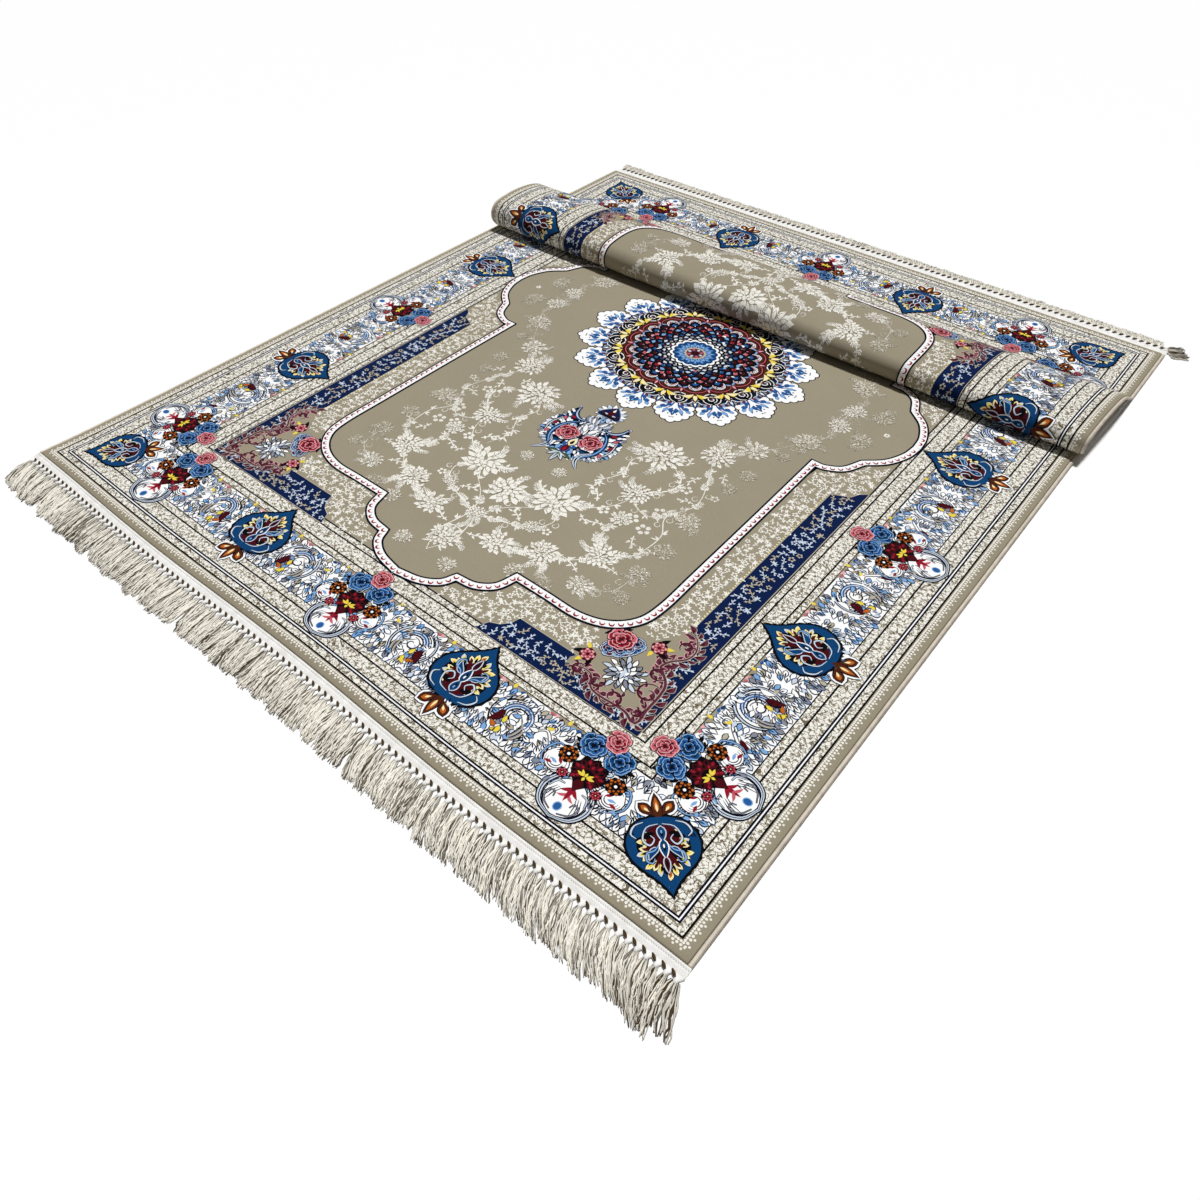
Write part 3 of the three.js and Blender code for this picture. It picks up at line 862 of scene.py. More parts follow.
# the navy angle in each corner of the field, and the taupe cartouche with plum scrolls that lies on it
navyOutline = [(186, 224), (503, 224), (503, 936), (490, 926), (482, 908), (466, 900), (450, 892), (448, 285),
               (228, 285), (224, 268), (212, 254), (196, 246)]
cartouche = {
    "edge": [(340, 262), (362, 275), (385, 274), (398, 256), (415, 250), (462, 252), (484, 244), (482, 270),
             (481, 304),
             (476, 326), (460, 342), (450, 352), (456, 372), (472, 392), (474, 412), (462, 432), (446, 434)],
    "inside": [(436, 420), (420, 395), (380, 330), (352, 300), (338, 276)],
    "flower": (421, 304), "rose": (377, 356),
    "buds": ((431, 381, 22), (355, 298, 22)),
}


def scrollLeaves(path, every, length, level=5):
    # plum leaves with a light rim and a dark fold that curl off a line, on both sides
    made = []
    for k in range(every, len(path) - 1, every):
        turn = heading(path[k + 1] - path[k - 1])
        for side in (1, -1):
            long = length * (1 if (k // every + (side > 0)) % 2 else 0.72)
            leaf = petal(*path[k], long, long * 0.46, turn + side * 38, bend=-side * long * 0.2, blunt=0.9,
                         count=4)
            made += edged(leaf, "plum", "pink" if side > 0 else "sand", 0.9, level)
            fold = petal(*path[k], long * 0.7, long * 0.16, turn + side * 38, bend=-side * long * 0.12,
                         count=3)
            made.append((fold, "black" if k % 2 else "maroon", level + 2))
    return made


def cornerPiece():
    outline = np.array(navyOutline, float)
    made = edged(outline, "navy", "sand", 1.6, 0)
    picker = random.Random(5)
    rows = [(x + 6 * (v % 2), v) for x in (461, 476, 490) for v in range(236, 930, 17)]
    rows += [(x + 8 * (v == 250), v) for x in range(198, 500, 17) for v in (236, 250, 266)]
    spots = np.array(rows, float)
    for x, v in spots[insideOf(spots, grown(outline, -8))]:
        made += moved(sprig(picker.uniform(14, 19), picker.choice(("mist", "sand", "mist")), 2,
                            picker.choice((1, 2, 3, 2, 3, 0))),
                      x + picker.uniform(-2, 2), v + picker.uniform(-3, 3), picker.uniform(0, 360))
    made += [(oval(446, v, 3.4, count=6), "cream", 2) for v in np.arange(296, 888, 7.0)]
    edge = smooth(cartouche["edge"], 4)
    made.append((np.concatenate([edge, cartouche["inside"]]), "taupe", 4))
    made += scrollLeaves(mitred(edge, 6), 2, 20, 5) + drawnLine(mitred(edge, 4), 4.4, "plum", "sand", 9, 1)
    for x, v, r, start, sweep in ((470, 297, 21, 60, 430), (434, 256, 20, 200, 430),
                                  (463, 410, 12, 240, -400), (362, 266, 12, 60, 400),
                                  (478, 258, 9, 200, 400), (459, 338, 15, 0, -400), (398, 266, 14, 90, -400),
                                  (446, 374, 10, 90, 400)):
        curl = spiral(x, v, r, r * 0.25, start, sweep, 20)
        made += drawnLine(curl, 4.4, "plum", "sand", 9, 0.8) + scrollLeaves(curl[:16], 3, 12, 9)
        made.append((ribbon(curl[:15], 0.6, 1.8, 0.6), "maroon", 12))
    x, v = cartouche["flower"]
    for row, (reach, count) in enumerate(((35, 15), (26, 12), (17, 9), (9, 5))):
        for k in range(count):
            turn = 360 * (k + row / 2) / count
            foot = spoke(reach - 16, turn, x, v)
            leaf = petal(*foot, 16 + 4 * math.sin(k * 2.1), 6.4, turn, blunt=1.0, bend=1.5, count=4)
            made += edged(leaf, ("white", "mist", "grey")[(k + row) % 3], "black", 1.7, 12 + 2 * row)
    for x, v, size in cartouche["buds"]:
        turn = heading((x - 377, v - 354))
        made += moved([(petal(8, 0, 20, 9, -38), "black", 0), (petal(-8, 0, 20, 9, 38), "black", 0),
                       (petal(0, 10, 15, 7, 0), "yellow", 0), (petal(9, -9, 14, 7, -120), "yellow", 0)]
                      + moved(blossom(size + 4, ("maroon", ("rose", "pink"), "maroon"), 6), up=1), x, v,
                      turn, up=20)
    x, v = cartouche["rose"]
    for turn in (-95, -45, 0, 45, 95):
        made += moved([(petal(0, 20, 24, 10, turn), "black", 20),
                       (petal(3, 24, 15, 7, turn + 24), "yellow", 21)], x, v, 50)
    for dx, dy in ((24, 8), (-4, -27), (11, -19), (20, -8)):
        made += moved(openRose(31, ("ink", ("blue", "skyBlue", "plum"), "mist"), dx), x + dx, v + dy, 20,
                      up=22)
    return made + moved(openRose(46, ("maroon", ("red", "rose", "red"), "pink"), 3), x, v, 0, up=32)


spandrel = {"pitch": 12.5, "size": (12, 17), "inner": 240}


def spandrelSprigs():
    # fine ivory flowers on the taupe between the field's outline and the bands
    picker = random.Random(11)
    line = fieldLine()
    field = np.concatenate([mitred(line, 13), [(0, 1125)]])
    xs, vs = np.meshgrid(np.arange(6, halfWidth - spandrel["inner"], spandrel["pitch"]),
                         np.arange(246, 1125, spandrel["pitch"]))
    spots = np.stack([xs.ravel(), vs.ravel()], -1).astype(float)
    spots += np.array([[picker.uniform(-4, 4), picker.uniform(-4, 4)] for _ in spots])
    keep = ~insideOf(spots, field) & ~insideOf(spots, grown(np.array(navyOutline, float), 5))
    for x, v, r in ((377, 356, 42), (421, 304, 46), (431, 381, 18), (355, 298, 18), (460, 400, 14),
                    (480, 250, 20)):
        keep &= np.hypot(spots[:, 0] - x, spots[:, 1] - v) > r
    made = []
    for x, v in spots[keep]:
        made += moved(sprig(picker.uniform(*spandrel["size"]), "ivory", 0, picker.randrange(4)), x, v,
                      picker.uniform(0, 360))
    return made


def atRing(drawing, radius, turn, up=0):
    # puts a drawing that points outwards on a ring
    return moved(moved(drawing, 0, radius, up=up), turn=turn)


pendantAt = 722
medallion = {
    "middle": 1125, "folds": 16, "lobeAt": 221, "curlAt": 174,
    # rings of layered petals, outside first: radius, length, width and the yarns of two petals in turn
    "rings": ((120, 30, 25, ("black", "maroon", "pink"), ("ink", "blue", "white")),
              (109, 28, 24, ("black", "rose", "white"), ("black", "plum", "mist")),
              (98, 27, 23, ("ink", "skyBlue", "maroon"), ("black", "red", "pink")),
              (87, 26, 21, ("black", "blue", "white"), ("black", "maroon", "skyBlue")),
              (77, 24, 19, ("black", "mist", "ink"), ("ink", "petrol", "rose")),
              (67, 22, 17, ("black", "grey", "white"), ("black", "mist", "plum")),
              (58, 19, 15, ("black", "grey", "black"), ("black", "white", "ink"))),
}


def medallionLobe():
    knobs = ((13, 27, 9), (25, 16, 9.5), (32, 2, 9.5), (31, -14, 9))
    knobs = [(0, 34, 9)] + [(side * x, y, r) for side in (1, -1) for x, y, r in knobs]
    made = []
    for grow, yarn, level in ((2.4, "black", 0), (0, "white", 1)):
        made += [(oval(x, y, 2 * (r + grow), count=10), yarn, level) for x, y, r in knobs]
        made.append((oval(0, -6, 60 + 2 * grow, 60 + 2 * grow, count=16), yarn, level))
    for side in (1, -1):
        made.append((ribbon(smooth(onSide(side, [(3, -34), (8, -12), (20, 2)]), 3), 4, 3, 1), "blue", 2))
        for x, y, turn, long in ((3, -6, -8, 17), (9, -2, -40, 17), (15, -8, -75, 16), (5, -20, -50, 17),
                                 (12, -22, -85, 16), (20, -14, -30, 14), (24, -2, -60, 12)):
            leaf = petal(side * x, y, long, 8, side * turn, bend=side * 2, blunt=0.9, count=4)
            made += edged(leaf, "skyBlue" if x in (9, 12, 24) else "blue", "petrol", 0.8, 3)
        made += [(petal(side * 17, 6, 11, 6, side * -20, count=3), "blue", 3),
                 (oval(side * 9, 14, 4, 4, count=6), "petrol", 3)]
        made += [(petal(side * 8, -30, 14, 8, side * -40, blunt=0.9, count=4), "plum", 5),
                 (petal(side * 21, -26, 13, 7, side * -70, count=4), "maroon", 5)]
    made += [(petal(0, 0, 20, 9, 0, blunt=0.9, count=4), "petrol", 4),
             (petal(0, 3, 12, 4, 0, count=3), "skyBlue", 5)]
    return made


def medallionCurl():
    made = [(oval(0, 0, 42, 42, count=14), "black", 0),
            (ribbon(spiral(0, 0, 18.5, 18.5, 100, 340, 22), 1.5, 2.6, 1.5), "white", 1)]
    made += [(ribbon(spiral(0, 0, 12, 3, 100, 500, 18), 1.4, 2.4, 1.6), "white", 4),
             (petal(0, -6, 10, 7, 0, blunt=1), "plum", 3)]
    for side in (1, -1):
        made += drawnLine(smooth(onSide(side, [(15, 17), (25, 16), (31, 6), (36, 12)]), 2), 2, "white",
                          "black", 3, 1.2)
        made.append((ribbon(smooth(onSide(side, [(14, -14), (26, -15), (33, -4), (27, 2)]), 2), 1, 2.2, 1),
                     "mist", 2))
        made += [(petal(side * 19, -9, 13, 8, side * -95, blunt=0.9, count=4), "plum", 1),
                 (petal(side * 21, 10, 14, 8, side * -30, blunt=0.9, count=4), "petrol", 1)]
        made.append((petal(side * 27, 2, 12, 6, side * -55, count=4), "maroon", 2))
    return made


def medallionFlower():
    # a small flower under a dark red arch, and the yellow fleuron over it
    arch = smooth([(-25, -8), (-20, 9), (0, 16), (20, 9), (25, -8)], 3)
    made = [(ribbon(arch, 3, 7, 8, 7, 3), "black", 0), (ribbon(arch, 2, 4.6, 5.4, 4.6, 2), "maroon", 1),
            (ribbon(arch, 0.8, 1.8, 2, 0.8), "rose", 2)]
    made += moved(openRose(30, ("black", ("rose", "pink", "mist"), "white"), 9), 0, -6, 0, up=3)
    for side in (1, -1):
        made += [(petal(side * 14, -10, 15, 8, side * -50, blunt=1, count=4), "skyBlue", 2),
                 (petal(side * 8, -18, 14, 8, side * -110, blunt=1, count=4), "blue", 2)]
        made += edged(petal(side * 3, 22, 27, 10, side * -76, bend=side * -6, blunt=1), "cream", "black",
                      1.6, 14)
        made += edged(petal(side * 3, 24, 20, 9, side * -36, bend=side * 3, blunt=1), "yellow", "black", 1.4,
                      14)
    made += edged(petal(0, 21, 27, 9, 0, blunt=1), "cream", "black", 1.4, 16)
    return made + [(oval(0, 25, 6, 7, count=7), "brown", 18)]


def medallionFigure():
    made, folds = [], medallion["folds"]
    for k in range(folds):
        made += atRing(medallionLobe(), medallion["lobeAt"], 360 * k / folds)
    made += [(scallops(0, 0, 186, 7, folds, 6, 180 / folds), "ink", 6),
             (scallops(0, 0, 168, 8, folds, 6, 180 / folds), "brown", 7)]
    made.append((oval(0, 0, 276, count=64), "black", 8))
    for k in range(folds):
        turn, half = 360 * k / folds, 360 * (k + 0.5) / folds
        made += atRing([(petal(0, -8, 30, 13, 0, blunt=0.8, count=4), "petrol", 0),
                        (petal(0, -3, 18, 5, 0, blunt=0.7, count=4), "white", 1)], 186, half, 7)
        made += atRing(medallionCurl(), medallion["curlAt"], turn, 9)
        made += atRing(medallionFlower(), 135, half, 14)
        made += atRing([(petal(0, 0, 24, 12, 0, blunt=1, count=4), "maroon", 0),
                        (petal(0, 4, 14, 5, 0, count=3), "pink", 1),
                        (petal(-8, 0, 16, 7, 32, count=4), "brown", 0),
                        (petal(8, 0, 16, 7, -32, count=4), "brown", 0)], 134, turn, 14)
    for ring, (radius, length, width, *looks) in enumerate(medallion["rings"]):
        for k in range(2 * folds):
            turn = 180 * (k + ring * 0.5) / folds
            for layer, (share, yarn) in enumerate(zip((1, 0.7, 0.4), looks[(k + ring) % 2])):
                leaf = petal(0, radius - length * 0.5, length * share, width * share, 0, blunt=1.3,
                             count=4 if layer < 1 else 3)
                made.append((turnedPoints(leaf, turn), yarn, 30 + 2 * ring + layer))
    made += [(scallops(0, 0, 53, 6, folds, 4), "black", 46), (scallops(0, 0, 49, 6, folds, 4), "white", 47),
             (scallops(0, 0, 45, 4, folds, 4), "petrol", 48)]
    for k in range(folds):
        turn, half = 360 * k / folds, 360 * (k + 0.5) / folds
        made += atRing([(petal(0, 0, 19, 10, 0, blunt=1.1, count=4), "blue", 49),
                        (petal(0, 4, 12, 4, 0, count=3), "skyBlue", 50)], 26, half)
        made += atRing([(petal(0, 0, 16, 9, 0, blunt=1.1, count=4), "skyBlue", 51),
                        (petal(0, 1, 9, 4, 0, count=3), "blue", 52)], 20, turn)
    made += [(scallops(0, 0, 22, 3, folds, 3), "sand", 53), (oval(0, 0, 38, count=20), "plum", 54)]
    for k in range(8):
        made += atRing([(oval(0, 0, 6, 8, count=7), "rose" if k % 2 else "mist", 55),
                        (oval(0, -8, 5, 6, count=6), "black", 55)], 14, 45 * k)
    return made + [(oval(0, 0, 8, count=8), "maroon", 56)]


pendantEdge = [(0, 84), (16, 82), (22, 66), (30, 54), (44, 52), (55, 64), (61, 86), (68, 68), (70, 48),
               (77, 32), (83, 13),
               (81, -7), (71, -26), (60, -42), (44, -50), (30, -60), (14, -62), (0, -62)]


def pendant():
    # hangs from the medallion on its long axis; y 0 is the middle of its two roses
    side = smooth(pendantEdge, 3)
    outline = np.concatenate([side, (side[1:-1] * (-1, 1))[::-1]])
    made = [(outline, "ink", 0)]
    picker = random.Random(8)
    for x, y in side[1:-1:2]:
        turn = heading((x, y - 6)) + picker.uniform(-25, 25)
        leaf = petal(*(np.array((x, y)) * 0.93), 11, 7, turn, blunt=0.9, count=3)
        row = edged(leaf, picker.choice(("white", "white", "mist")), "ink", 1.1, 1)
        made += row + flipped(row)
    spots = np.array([(x, y) for x in np.arange(3, 84, 8) for y in np.arange(-58, 82, 8)], float)
    for x, y in spots[insideOf(spots, grown(outline, -3))]:
        turn = heading((x, y)) + picker.uniform(-50, 50)
        leaf = petal(x, y - 3, 13, 6.4, turn, bend=picker.uniform(-2, 2), blunt=0.9, count=3)
        row = edged(leaf, picker.choice(("white", "white", "mist", "grey", "skyBlue", "petrol")), "ink", 1, 2)
        made += row + flipped(row)
    for k in range(-5, 6):
        for row in range(3):
            turn = (-9, 26, -14)[row] * (1 if k > 0 else -1) - 4 * k
            stem = petal(2.2 * k + row * k * 0.5, 10 + 21 * row, 25, 5.4, turn, bend=k * 0.8, blunt=0.9,
                         count=3)
            made += edged(stem, ("white", "grey", "mist", "grey")[(abs(k) + row) % 4], "black", 1.3, 5)
    for side in (1, -1):
        for points, wide, deep, light in (([(28, 44), (44, 30), (55, 4), (54, -24), (40, -48), (30, -58)], 8,
                                           "petrol", "skyBlue"),
                                          ([(26, 50), (42, 50), (55, 62), (61, 84)], 8, "petrol", "mist"),
                                          ([(50, -26), (38, -42), (38, -60), (45, -72), (55, -82)], 8,
                                           "mist", "ink"),
                                          ([(68, -26), (75, 0), (68, 34)], 3.5, "grey", "white")):
            path = smooth(onSide(side, points), 3)
            made += drawnLine(path, wide, deep, "ink", 7,
                              1.3) + [(ribbon(path, 0.6, wide * 0.4, 0.6), light, 9)]
        for x, y, turn, yarn in ((46, 44, -60, "red"), (60, 30, -30, "rose"), (67, 4, -10, "red"),
                                 (64, -16, -170, "rose"), (14, -28, 150, "blue")):
            made += edged(petal(side * x, y, 13, 7, side * turn), yarn, "ink", 1.1, 10)
        made += moved(openRose(47, ("maroon", ("red", "rose", "red"), "pink"), 5), side * 28, -2, 0, up=12)
        made += moved(edged(petal(side * 4, 20, 28, 9, side * -26, blunt=0.8), "white", "ink", 1.3, 0), up=12)
    for y, length, width, fill in ((-58, 30, 14, "maroon"), (-34, 30, 16, "cream")):
        made += edged(petal(0, y, length, width, 0, blunt=0.8), fill, "blue", 2.4, 25)
    made += [(petal(0, -29, 16, 7, 0), "black", 28), (petal(0, -54, 16, 8, 0, blunt=0.8), "red", 28)]
    for turn, long in ((0, 34), (-42, 26), (42, 26), (-78, 28), (78, 28)):
        made += edged(petal(0, -60, long, 8, 180 + turn, blunt=0.9), "mist" if abs(turn) < 50 else "green",
                      "ink", 1.5, 24)
        made.append((petal(0, -62, long * 0.7, 3, 180 + turn), "green" if abs(turn) < 50 else "mist", 26))
    crown = bothSides(smooth([(9, 88), (21, 88), (25, 94), (19, 107), (10, 118), (0, 128)], 3))
    for k in range(13):
        foot = spoke(15.0, -150 + 25 * k, 0, 103)
        turn = -150 + 25 * k + picker.uniform(-14, 14)
        made += edged(petal(*foot, 19, 9, turn, bend=2, blunt=0.8, count=4), "white" if k % 2 else "mist",
                      "ink", 1.1, 20)
    made += moved(edged(crown, "navy", "grey", 1.6, 0),
                  up=23) + [(petal(0, 93, 30, 14, 0, blunt=0.8), "maroon", 26),
                            (petal(0, 110, 12, 5, 0), "white", 27)]
    made.append((oval(0, 92, 34, 6, count=10), "black", 28))
    for side in (1, -1):
        made += [(petal(side * 8, 94, 14, 8, side * -50), "maroon", 27),
                 (petal(side * 5, 98, 9, 4, side * -80), "mist", 29)]
    return made


# tone on tone flowers of the field for one quarter: x, v, size, kind and how much ivory they show
fieldBlooms = [
    (237, 852, 104, "round", 0.72), (157, 785, 130, "round", 0.78), (185, 660, 88, "round", 0.92),
               (278, 912, 80, "spiked", 0.55),
    (340, 1004, 84, "round", 0.42), (363, 1092, 62, "spiked", 0.55), (417, 1076, 70, "round", 0.34),
               (304, 780, 46, "round", 0.3),
    (309, 836, 48, "spiked", 0.3), (296, 656, 72, "spiked", 0.42), (89, 545, 118, "spiked", 1.0),
               (237, 486, 94, "round", 0.95),
    (156, 426, 92, "round", 0.9), (98, 462, 48, "round", 0.9), (252, 406, 64, "spiked", 0.62),
               (80, 392, 82, "spiked", 0.85),
    (0, 507, 108, "spiked", 1.0), (0, 424, 60, "round", 0.9), (0, 345, 94, "round", 0.85),
               (311, 493, 60, "round", 0.36),
    (204, 584, 56, "spiked", 0.8), (40, 612, 46, "round", 0.6), (312, 566, 54, "spiked", 0.32),
               (52, 296, 50, "spiked", 0.5),
    (148, 360, 50, "spiked", 0.5), (322, 430, 50, "round", 0.3), (205, 368, 54, "round", 0.3),
               (330, 930, 44, "round", 0.28),
]
fieldVines = [
    ([(0, 300), (20, 350), (10, 420), (30, 470), (89, 520)], 0.85),
              ([(80, 392), (120, 400), (156, 426), (200, 440), (237, 486)], 0.9),
    ([(89, 545), (130, 560), (170, 600), (185, 640)], 0.9),
              ([(237, 486), (276, 520), (285, 590), (262, 640), (284, 700), (268, 764), (237, 830)], 0.75),
    ([(185, 660), (222, 700), (226, 740), (190, 770)], 0.8),
              ([(157, 785), (120, 740), (130, 690), (110, 640), (124, 590)], 0.75),
    ([(237, 852), (262, 890), (278, 912), (310, 950), (340, 1004)], 0.5),
              ([(340, 1004), (362, 1040), (363, 1092), (390, 1125)], 0.42),
    ([(0, 424), (50, 440), (96, 456), (120, 500), (89, 545)], 0.85),
              ([(252, 406), (300, 430), (311, 493)], 0.5),
    ([(185, 640), (230, 620), (262, 640)], 0.7), ([(237, 486), (204, 520), (204, 584)], 0.8),
              ([(156, 426), (180, 390), (205, 368)], 0.5),
]


# small flowers and twigs between them: x, v, size and kind of sprig
fieldSprays = [
    (166, 583, 34, 0), (247, 643, 38, 0), (247, 727, 34, 0), (218, 598, 40, 0), (251, 587, 40, 0),
               (240, 761, 26, 2),
    (177, 547, 26, 2), (155, 539, 24, 3), (214, 436, 28, 2), (255, 547, 28, 3), (292, 546, 26, 2),
               (262, 700, 26, 3),
    (128, 470, 26, 0), (196, 640, 24, 2), (60, 470, 26, 2), (40, 560, 30, 3), (128, 690, 26, 3),
               (132, 610, 30, 2),
    (300, 740, 24, 0), (280, 800, 26, 2), (206, 800, 24, 3), (110, 640, 22, 0), (270, 470, 24, 2),
               (40, 380, 26, 3),
]


def ivoryYarn(share):
    return "ivory*" + str(round(min(share, 1), 2))


def feather(points, share, picker, length=14, width=0.42):
    # a curled leaf: a thin rib between two rows of pointed leaves
    path = smooth(points, 4)
    made = [(ribbon(path, 1.6, 1.4, 0.8), ivoryYarn(share), 0)]
    for k in range(1, len(path) - 1):
        turn = heading(path[k + 1] - path[k - 1])
        for side in (1, -1):
            long = length * (1.1 - 0.75 * k / len(path)) * picker.uniform(0.8, 1.2)
            lean = turn + side * picker.uniform(35, 60)
            leaf = petal(*path[k], long, long * width, lean, bend=-side * 1.5, blunt=0.8, count=3)
            made.append((leaf, ivoryYarn(share * picker.uniform(0.75, 1.05)), 0))
    return made


def bloom(size, kind, share, picker):
    # close rings of narrow petals with gaps of ground between them, over a few leaves
    made = []
    for k in range(3 if size > 40 else 0):
        turn = picker.uniform(0, 360)
        reach = turnedPoints(np.array([[0, size * 0.4], [size * 0.04, size * 0.62],
                                       [size * 0.18, size * 0.8]]), turn)
        made += feather(reach, share * 0.8, picker, size * 0.15, 0.34)
    rows = ((0.52, 17, 0.26), (0.4, 13, 0.22), (0.27, 9, 0.18), (0.14, 6, 0.13))
    if kind == "spiked":
        rows = ((0.58, 13, 0.34), (0.42, 11, 0.27), (0.27, 8, 0.2), (0.14, 5, 0.14))
    side = spoke(size * 0.025, picker.uniform(0, 360))
    twist = picker.choice((-1, 1)) * size * 0.03
    for row, (reach, count, long) in enumerate(rows):
        for k in range(count):
            turn = 360 * (k + row / 2 + picker.uniform(-0.25, 0.25)) / count
            tip = size * (reach + picker.uniform(-0.07, 0.03))
            wide = 2 * math.pi * (reach - long * 0.3) * size / count * picker.uniform(0.6, 0.8)
            foot = spoke(tip - long * size, turn) + side * row
            leaf = petal(*foot, long * size, wide, turn, bend=twist, blunt=1.25, count=3)
            if row:
                made.append((grown(leaf, size * 0.008 + 0.8), "taupe", 2 * row))
            made.append((leaf, ivoryYarn(share * picker.uniform(0.62, 1)), 2 * row + 1))
    return made


def vine(points, share, picker):
    path = smooth(points, 7)
    share = share * 0.85
    made = [(ribbon(path, 1.2, 2.2, 1.8, 1), ivoryYarn(share), 0)]
    for k in range(3, len(path) - 3, 2):
        turn = heading(path[k + 1] - path[k])
        side = 1 if k % 4 == 1 else -1
        look = picker.random()
        if look < 0.3:
            reach = turnedPoints(np.array([[0, 0], [side * 4, 14], [side * 14, 24]]),
                                 turn + side * 30) + path[k]
            made += feather(reach, share, picker, 10)
        elif look < 0.75:
            for lean in (-30, 0, 30):
                long, lift = picker.uniform(9, 18), side * picker.uniform(40, 65)
                made.append((petal(*path[k], long, 3.8, turn + lift + lean, blunt=0.9, count=3),
                             ivoryYarn(share), 0))
        else:
            middle = path[k] + turnedPoints(np.array([[side * -9, 8]]), turn)[0]
            curl = spiral(*middle, 8, 3, 90, side * 330, 12)
            made.append((ribbon(curl, 0.8, 1.7, 0.8), ivoryYarn(share), 0))
    return made


def bloomAt(x, v, size, kind, share):
    picker = random.Random(int(x + 3 * v))
    flower = bloom(size * 0.68, kind, 0.14 + 0.88 * share, picker)
    return moved(flower, x, v, 0 if x == 0 else x + v, up=2)


def fieldFlowers():
    picker = random.Random(17)
    made = []
    for points, share in fieldVines:
        made += vine(points, share, picker)
    for row in fieldBlooms:
        made += bloomAt(*row) if row[0] else []
    for x, v, size, kind in fieldSprays:
        made += moved(sprig(size, ivoryYarn(0.85 - 0.0016 * max(x - 100, 0)), 1, kind), x, v,
                      picker.uniform(0, 360))
    return made


def fieldMiddleFlowers():
    return sum([bloomAt(*row) for row in fieldBlooms if not row[0]], [])


inlay = {
    "lift": 0.15, "step": 0.12, "rise": 1.3,
         # height of the lowest figure, of one level and of all levels
    "grain": 1.7, "showFrom": 0.26, "showMore": 0.5,  # where a yarn shares its place with the taupe ground
}


def turnsLeft(triangles):
    # twice the area of each triangle, below zero where it runs clockwise
    (ax, ay), (bx, by) = (triangles[:, 1] - triangles[:, 0]).T, (triangles[:, 2] - triangles[:, 0]).T
    return ax * by - ay * bx


def spanned(outline):
    # triangles that fill an outline; one that crosses itself is a ribbon and is filled between its two sides
    count = len(outline)
    ring = [Vector((x, y, 0)) for x, y in outline]
    found = np.array(tessellate_polygon([ring]), int).reshape(-1, 3)
    corners = outline[found]
    nextX, nextY = np.roll(outline[:, 0], -1), np.roll(outline[:, 1], -1)
    area = abs(np.sum(outline[:, 0] * nextY - nextX * outline[:, 1]))
    if abs(np.sum(np.abs(turnsLeft(corners))) - area) < 0.01 * area or count % 2:
        return corners
    near = np.arange(count // 2 - 1)
    far = count - 1 - near
    return outline[np.concatenate([np.stack([near, near + 1, far], 1),
                                   np.stack([near + 1, far - 1, far], 1)])]


def cutAlong(triangles, marks):
    # cuts triangles at the cloth's rows, so that they lie flat against it where it bends
    done, doneMarks = [], []
    while len(triangles):
        low, high = triangles[:, :, 1].min(1), triangles[:, :, 1].max(1)
        first = np.searchsorted(vLines, low + 1e-3, side="right")
        last = np.searchsorted(vLines, high - 1e-3, side="left") - 1
        whole = last < first
        done.append(triangles[whole])
        doneMarks.append(marks[whole])
        triangles, marks = triangles[~whole], marks[~whole]
        if not len(triangles):
            break
        line = vLines[(first[~whole] + last[~whole] + 1) // 2]
        order = np.argsort(triangles[:, :, 1], axis=1)
        a, b, c = (np.take_along_axis(triangles, order[:, k, None, None].repeat(2, 2), 1)[:, 0]
                   for k in range(3))

        def crossing(start, end):
            share = (line - start[:, 1]) / np.where(np.abs(end[:, 1] - start[:, 1]) < 1e-9, 1e-9,
                                                    end[:, 1] - start[:, 1])
            return np.stack([start[:, 0] + share * (end[:, 0] - start[:, 0]), line], 1)

        long = crossing(a, c)
        above = b[:, 1] > line
        short = np.where(above[:, None], crossing(a, b), crossing(b, c))
        tip, base = np.where(above[:, None], a, c), np.where(above[:, None], c, a)
        pieces = [np.stack([tip, short, long], 1), np.stack([short, b, long], 1),
                  np.stack([b, base, long], 1)]
        triangles, marks = np.concatenate(pieces), np.concatenate([marks] * 3)
        kept = np.abs(turnsLeft(triangles)) > 1e-4
        triangles, marks = triangles[kept], marks[kept]
    return np.concatenate(done), np.concatenate(doneMarks)


def onRows(x, v, height):
    # like onCloth, but straight between the cloth's rows
    after = np.clip(np.searchsorted(vLines, v), 1, len(vLines) - 1)
    low, high = vLines[after - 1], vLines[after]
    share = ((v - low) / (high - low))[:, None]
    start, startNormal = onCloth(x, low, height)
    end, endNormal = onCloth(x, high, height)
    normals = startNormal + (endNormal - startNormal) * share
    return start + (end - start) * share, normals / np.linalg.norm(normals, axis=1)[:, None]


def yarnColour(name):
    # a yarn's linear colour, with how much of it a mixed area shows
    base, _, share = name.partition("*")
    return linear(base)[:3] + (float(share or 1),)


def inlayMaterial():
    material = newMaterial("carpet_figures")
    tree = material.node_tree
    yarn = node(tree, "ShaderNodeAttribute", attribute_name="yarn")
    place = node(tree, "ShaderNodeTexCoord").outputs["Object"]
    mix = noise(tree, place, 1 / (inlay["grain"] * mm), 2.0)
    reach = sums(tree, "MULTIPLY_ADD", yarn.outputs["Alpha"], inlay["showMore"], inlay["showFrom"])
    colour = blendColours(tree, sums(tree, "LESS_THAN", mix, reach), linear("taupe"), yarn.outputs["Color"])
    pileSurface(tree, colour)
    return material


figureMaterial = inlayMaterial()


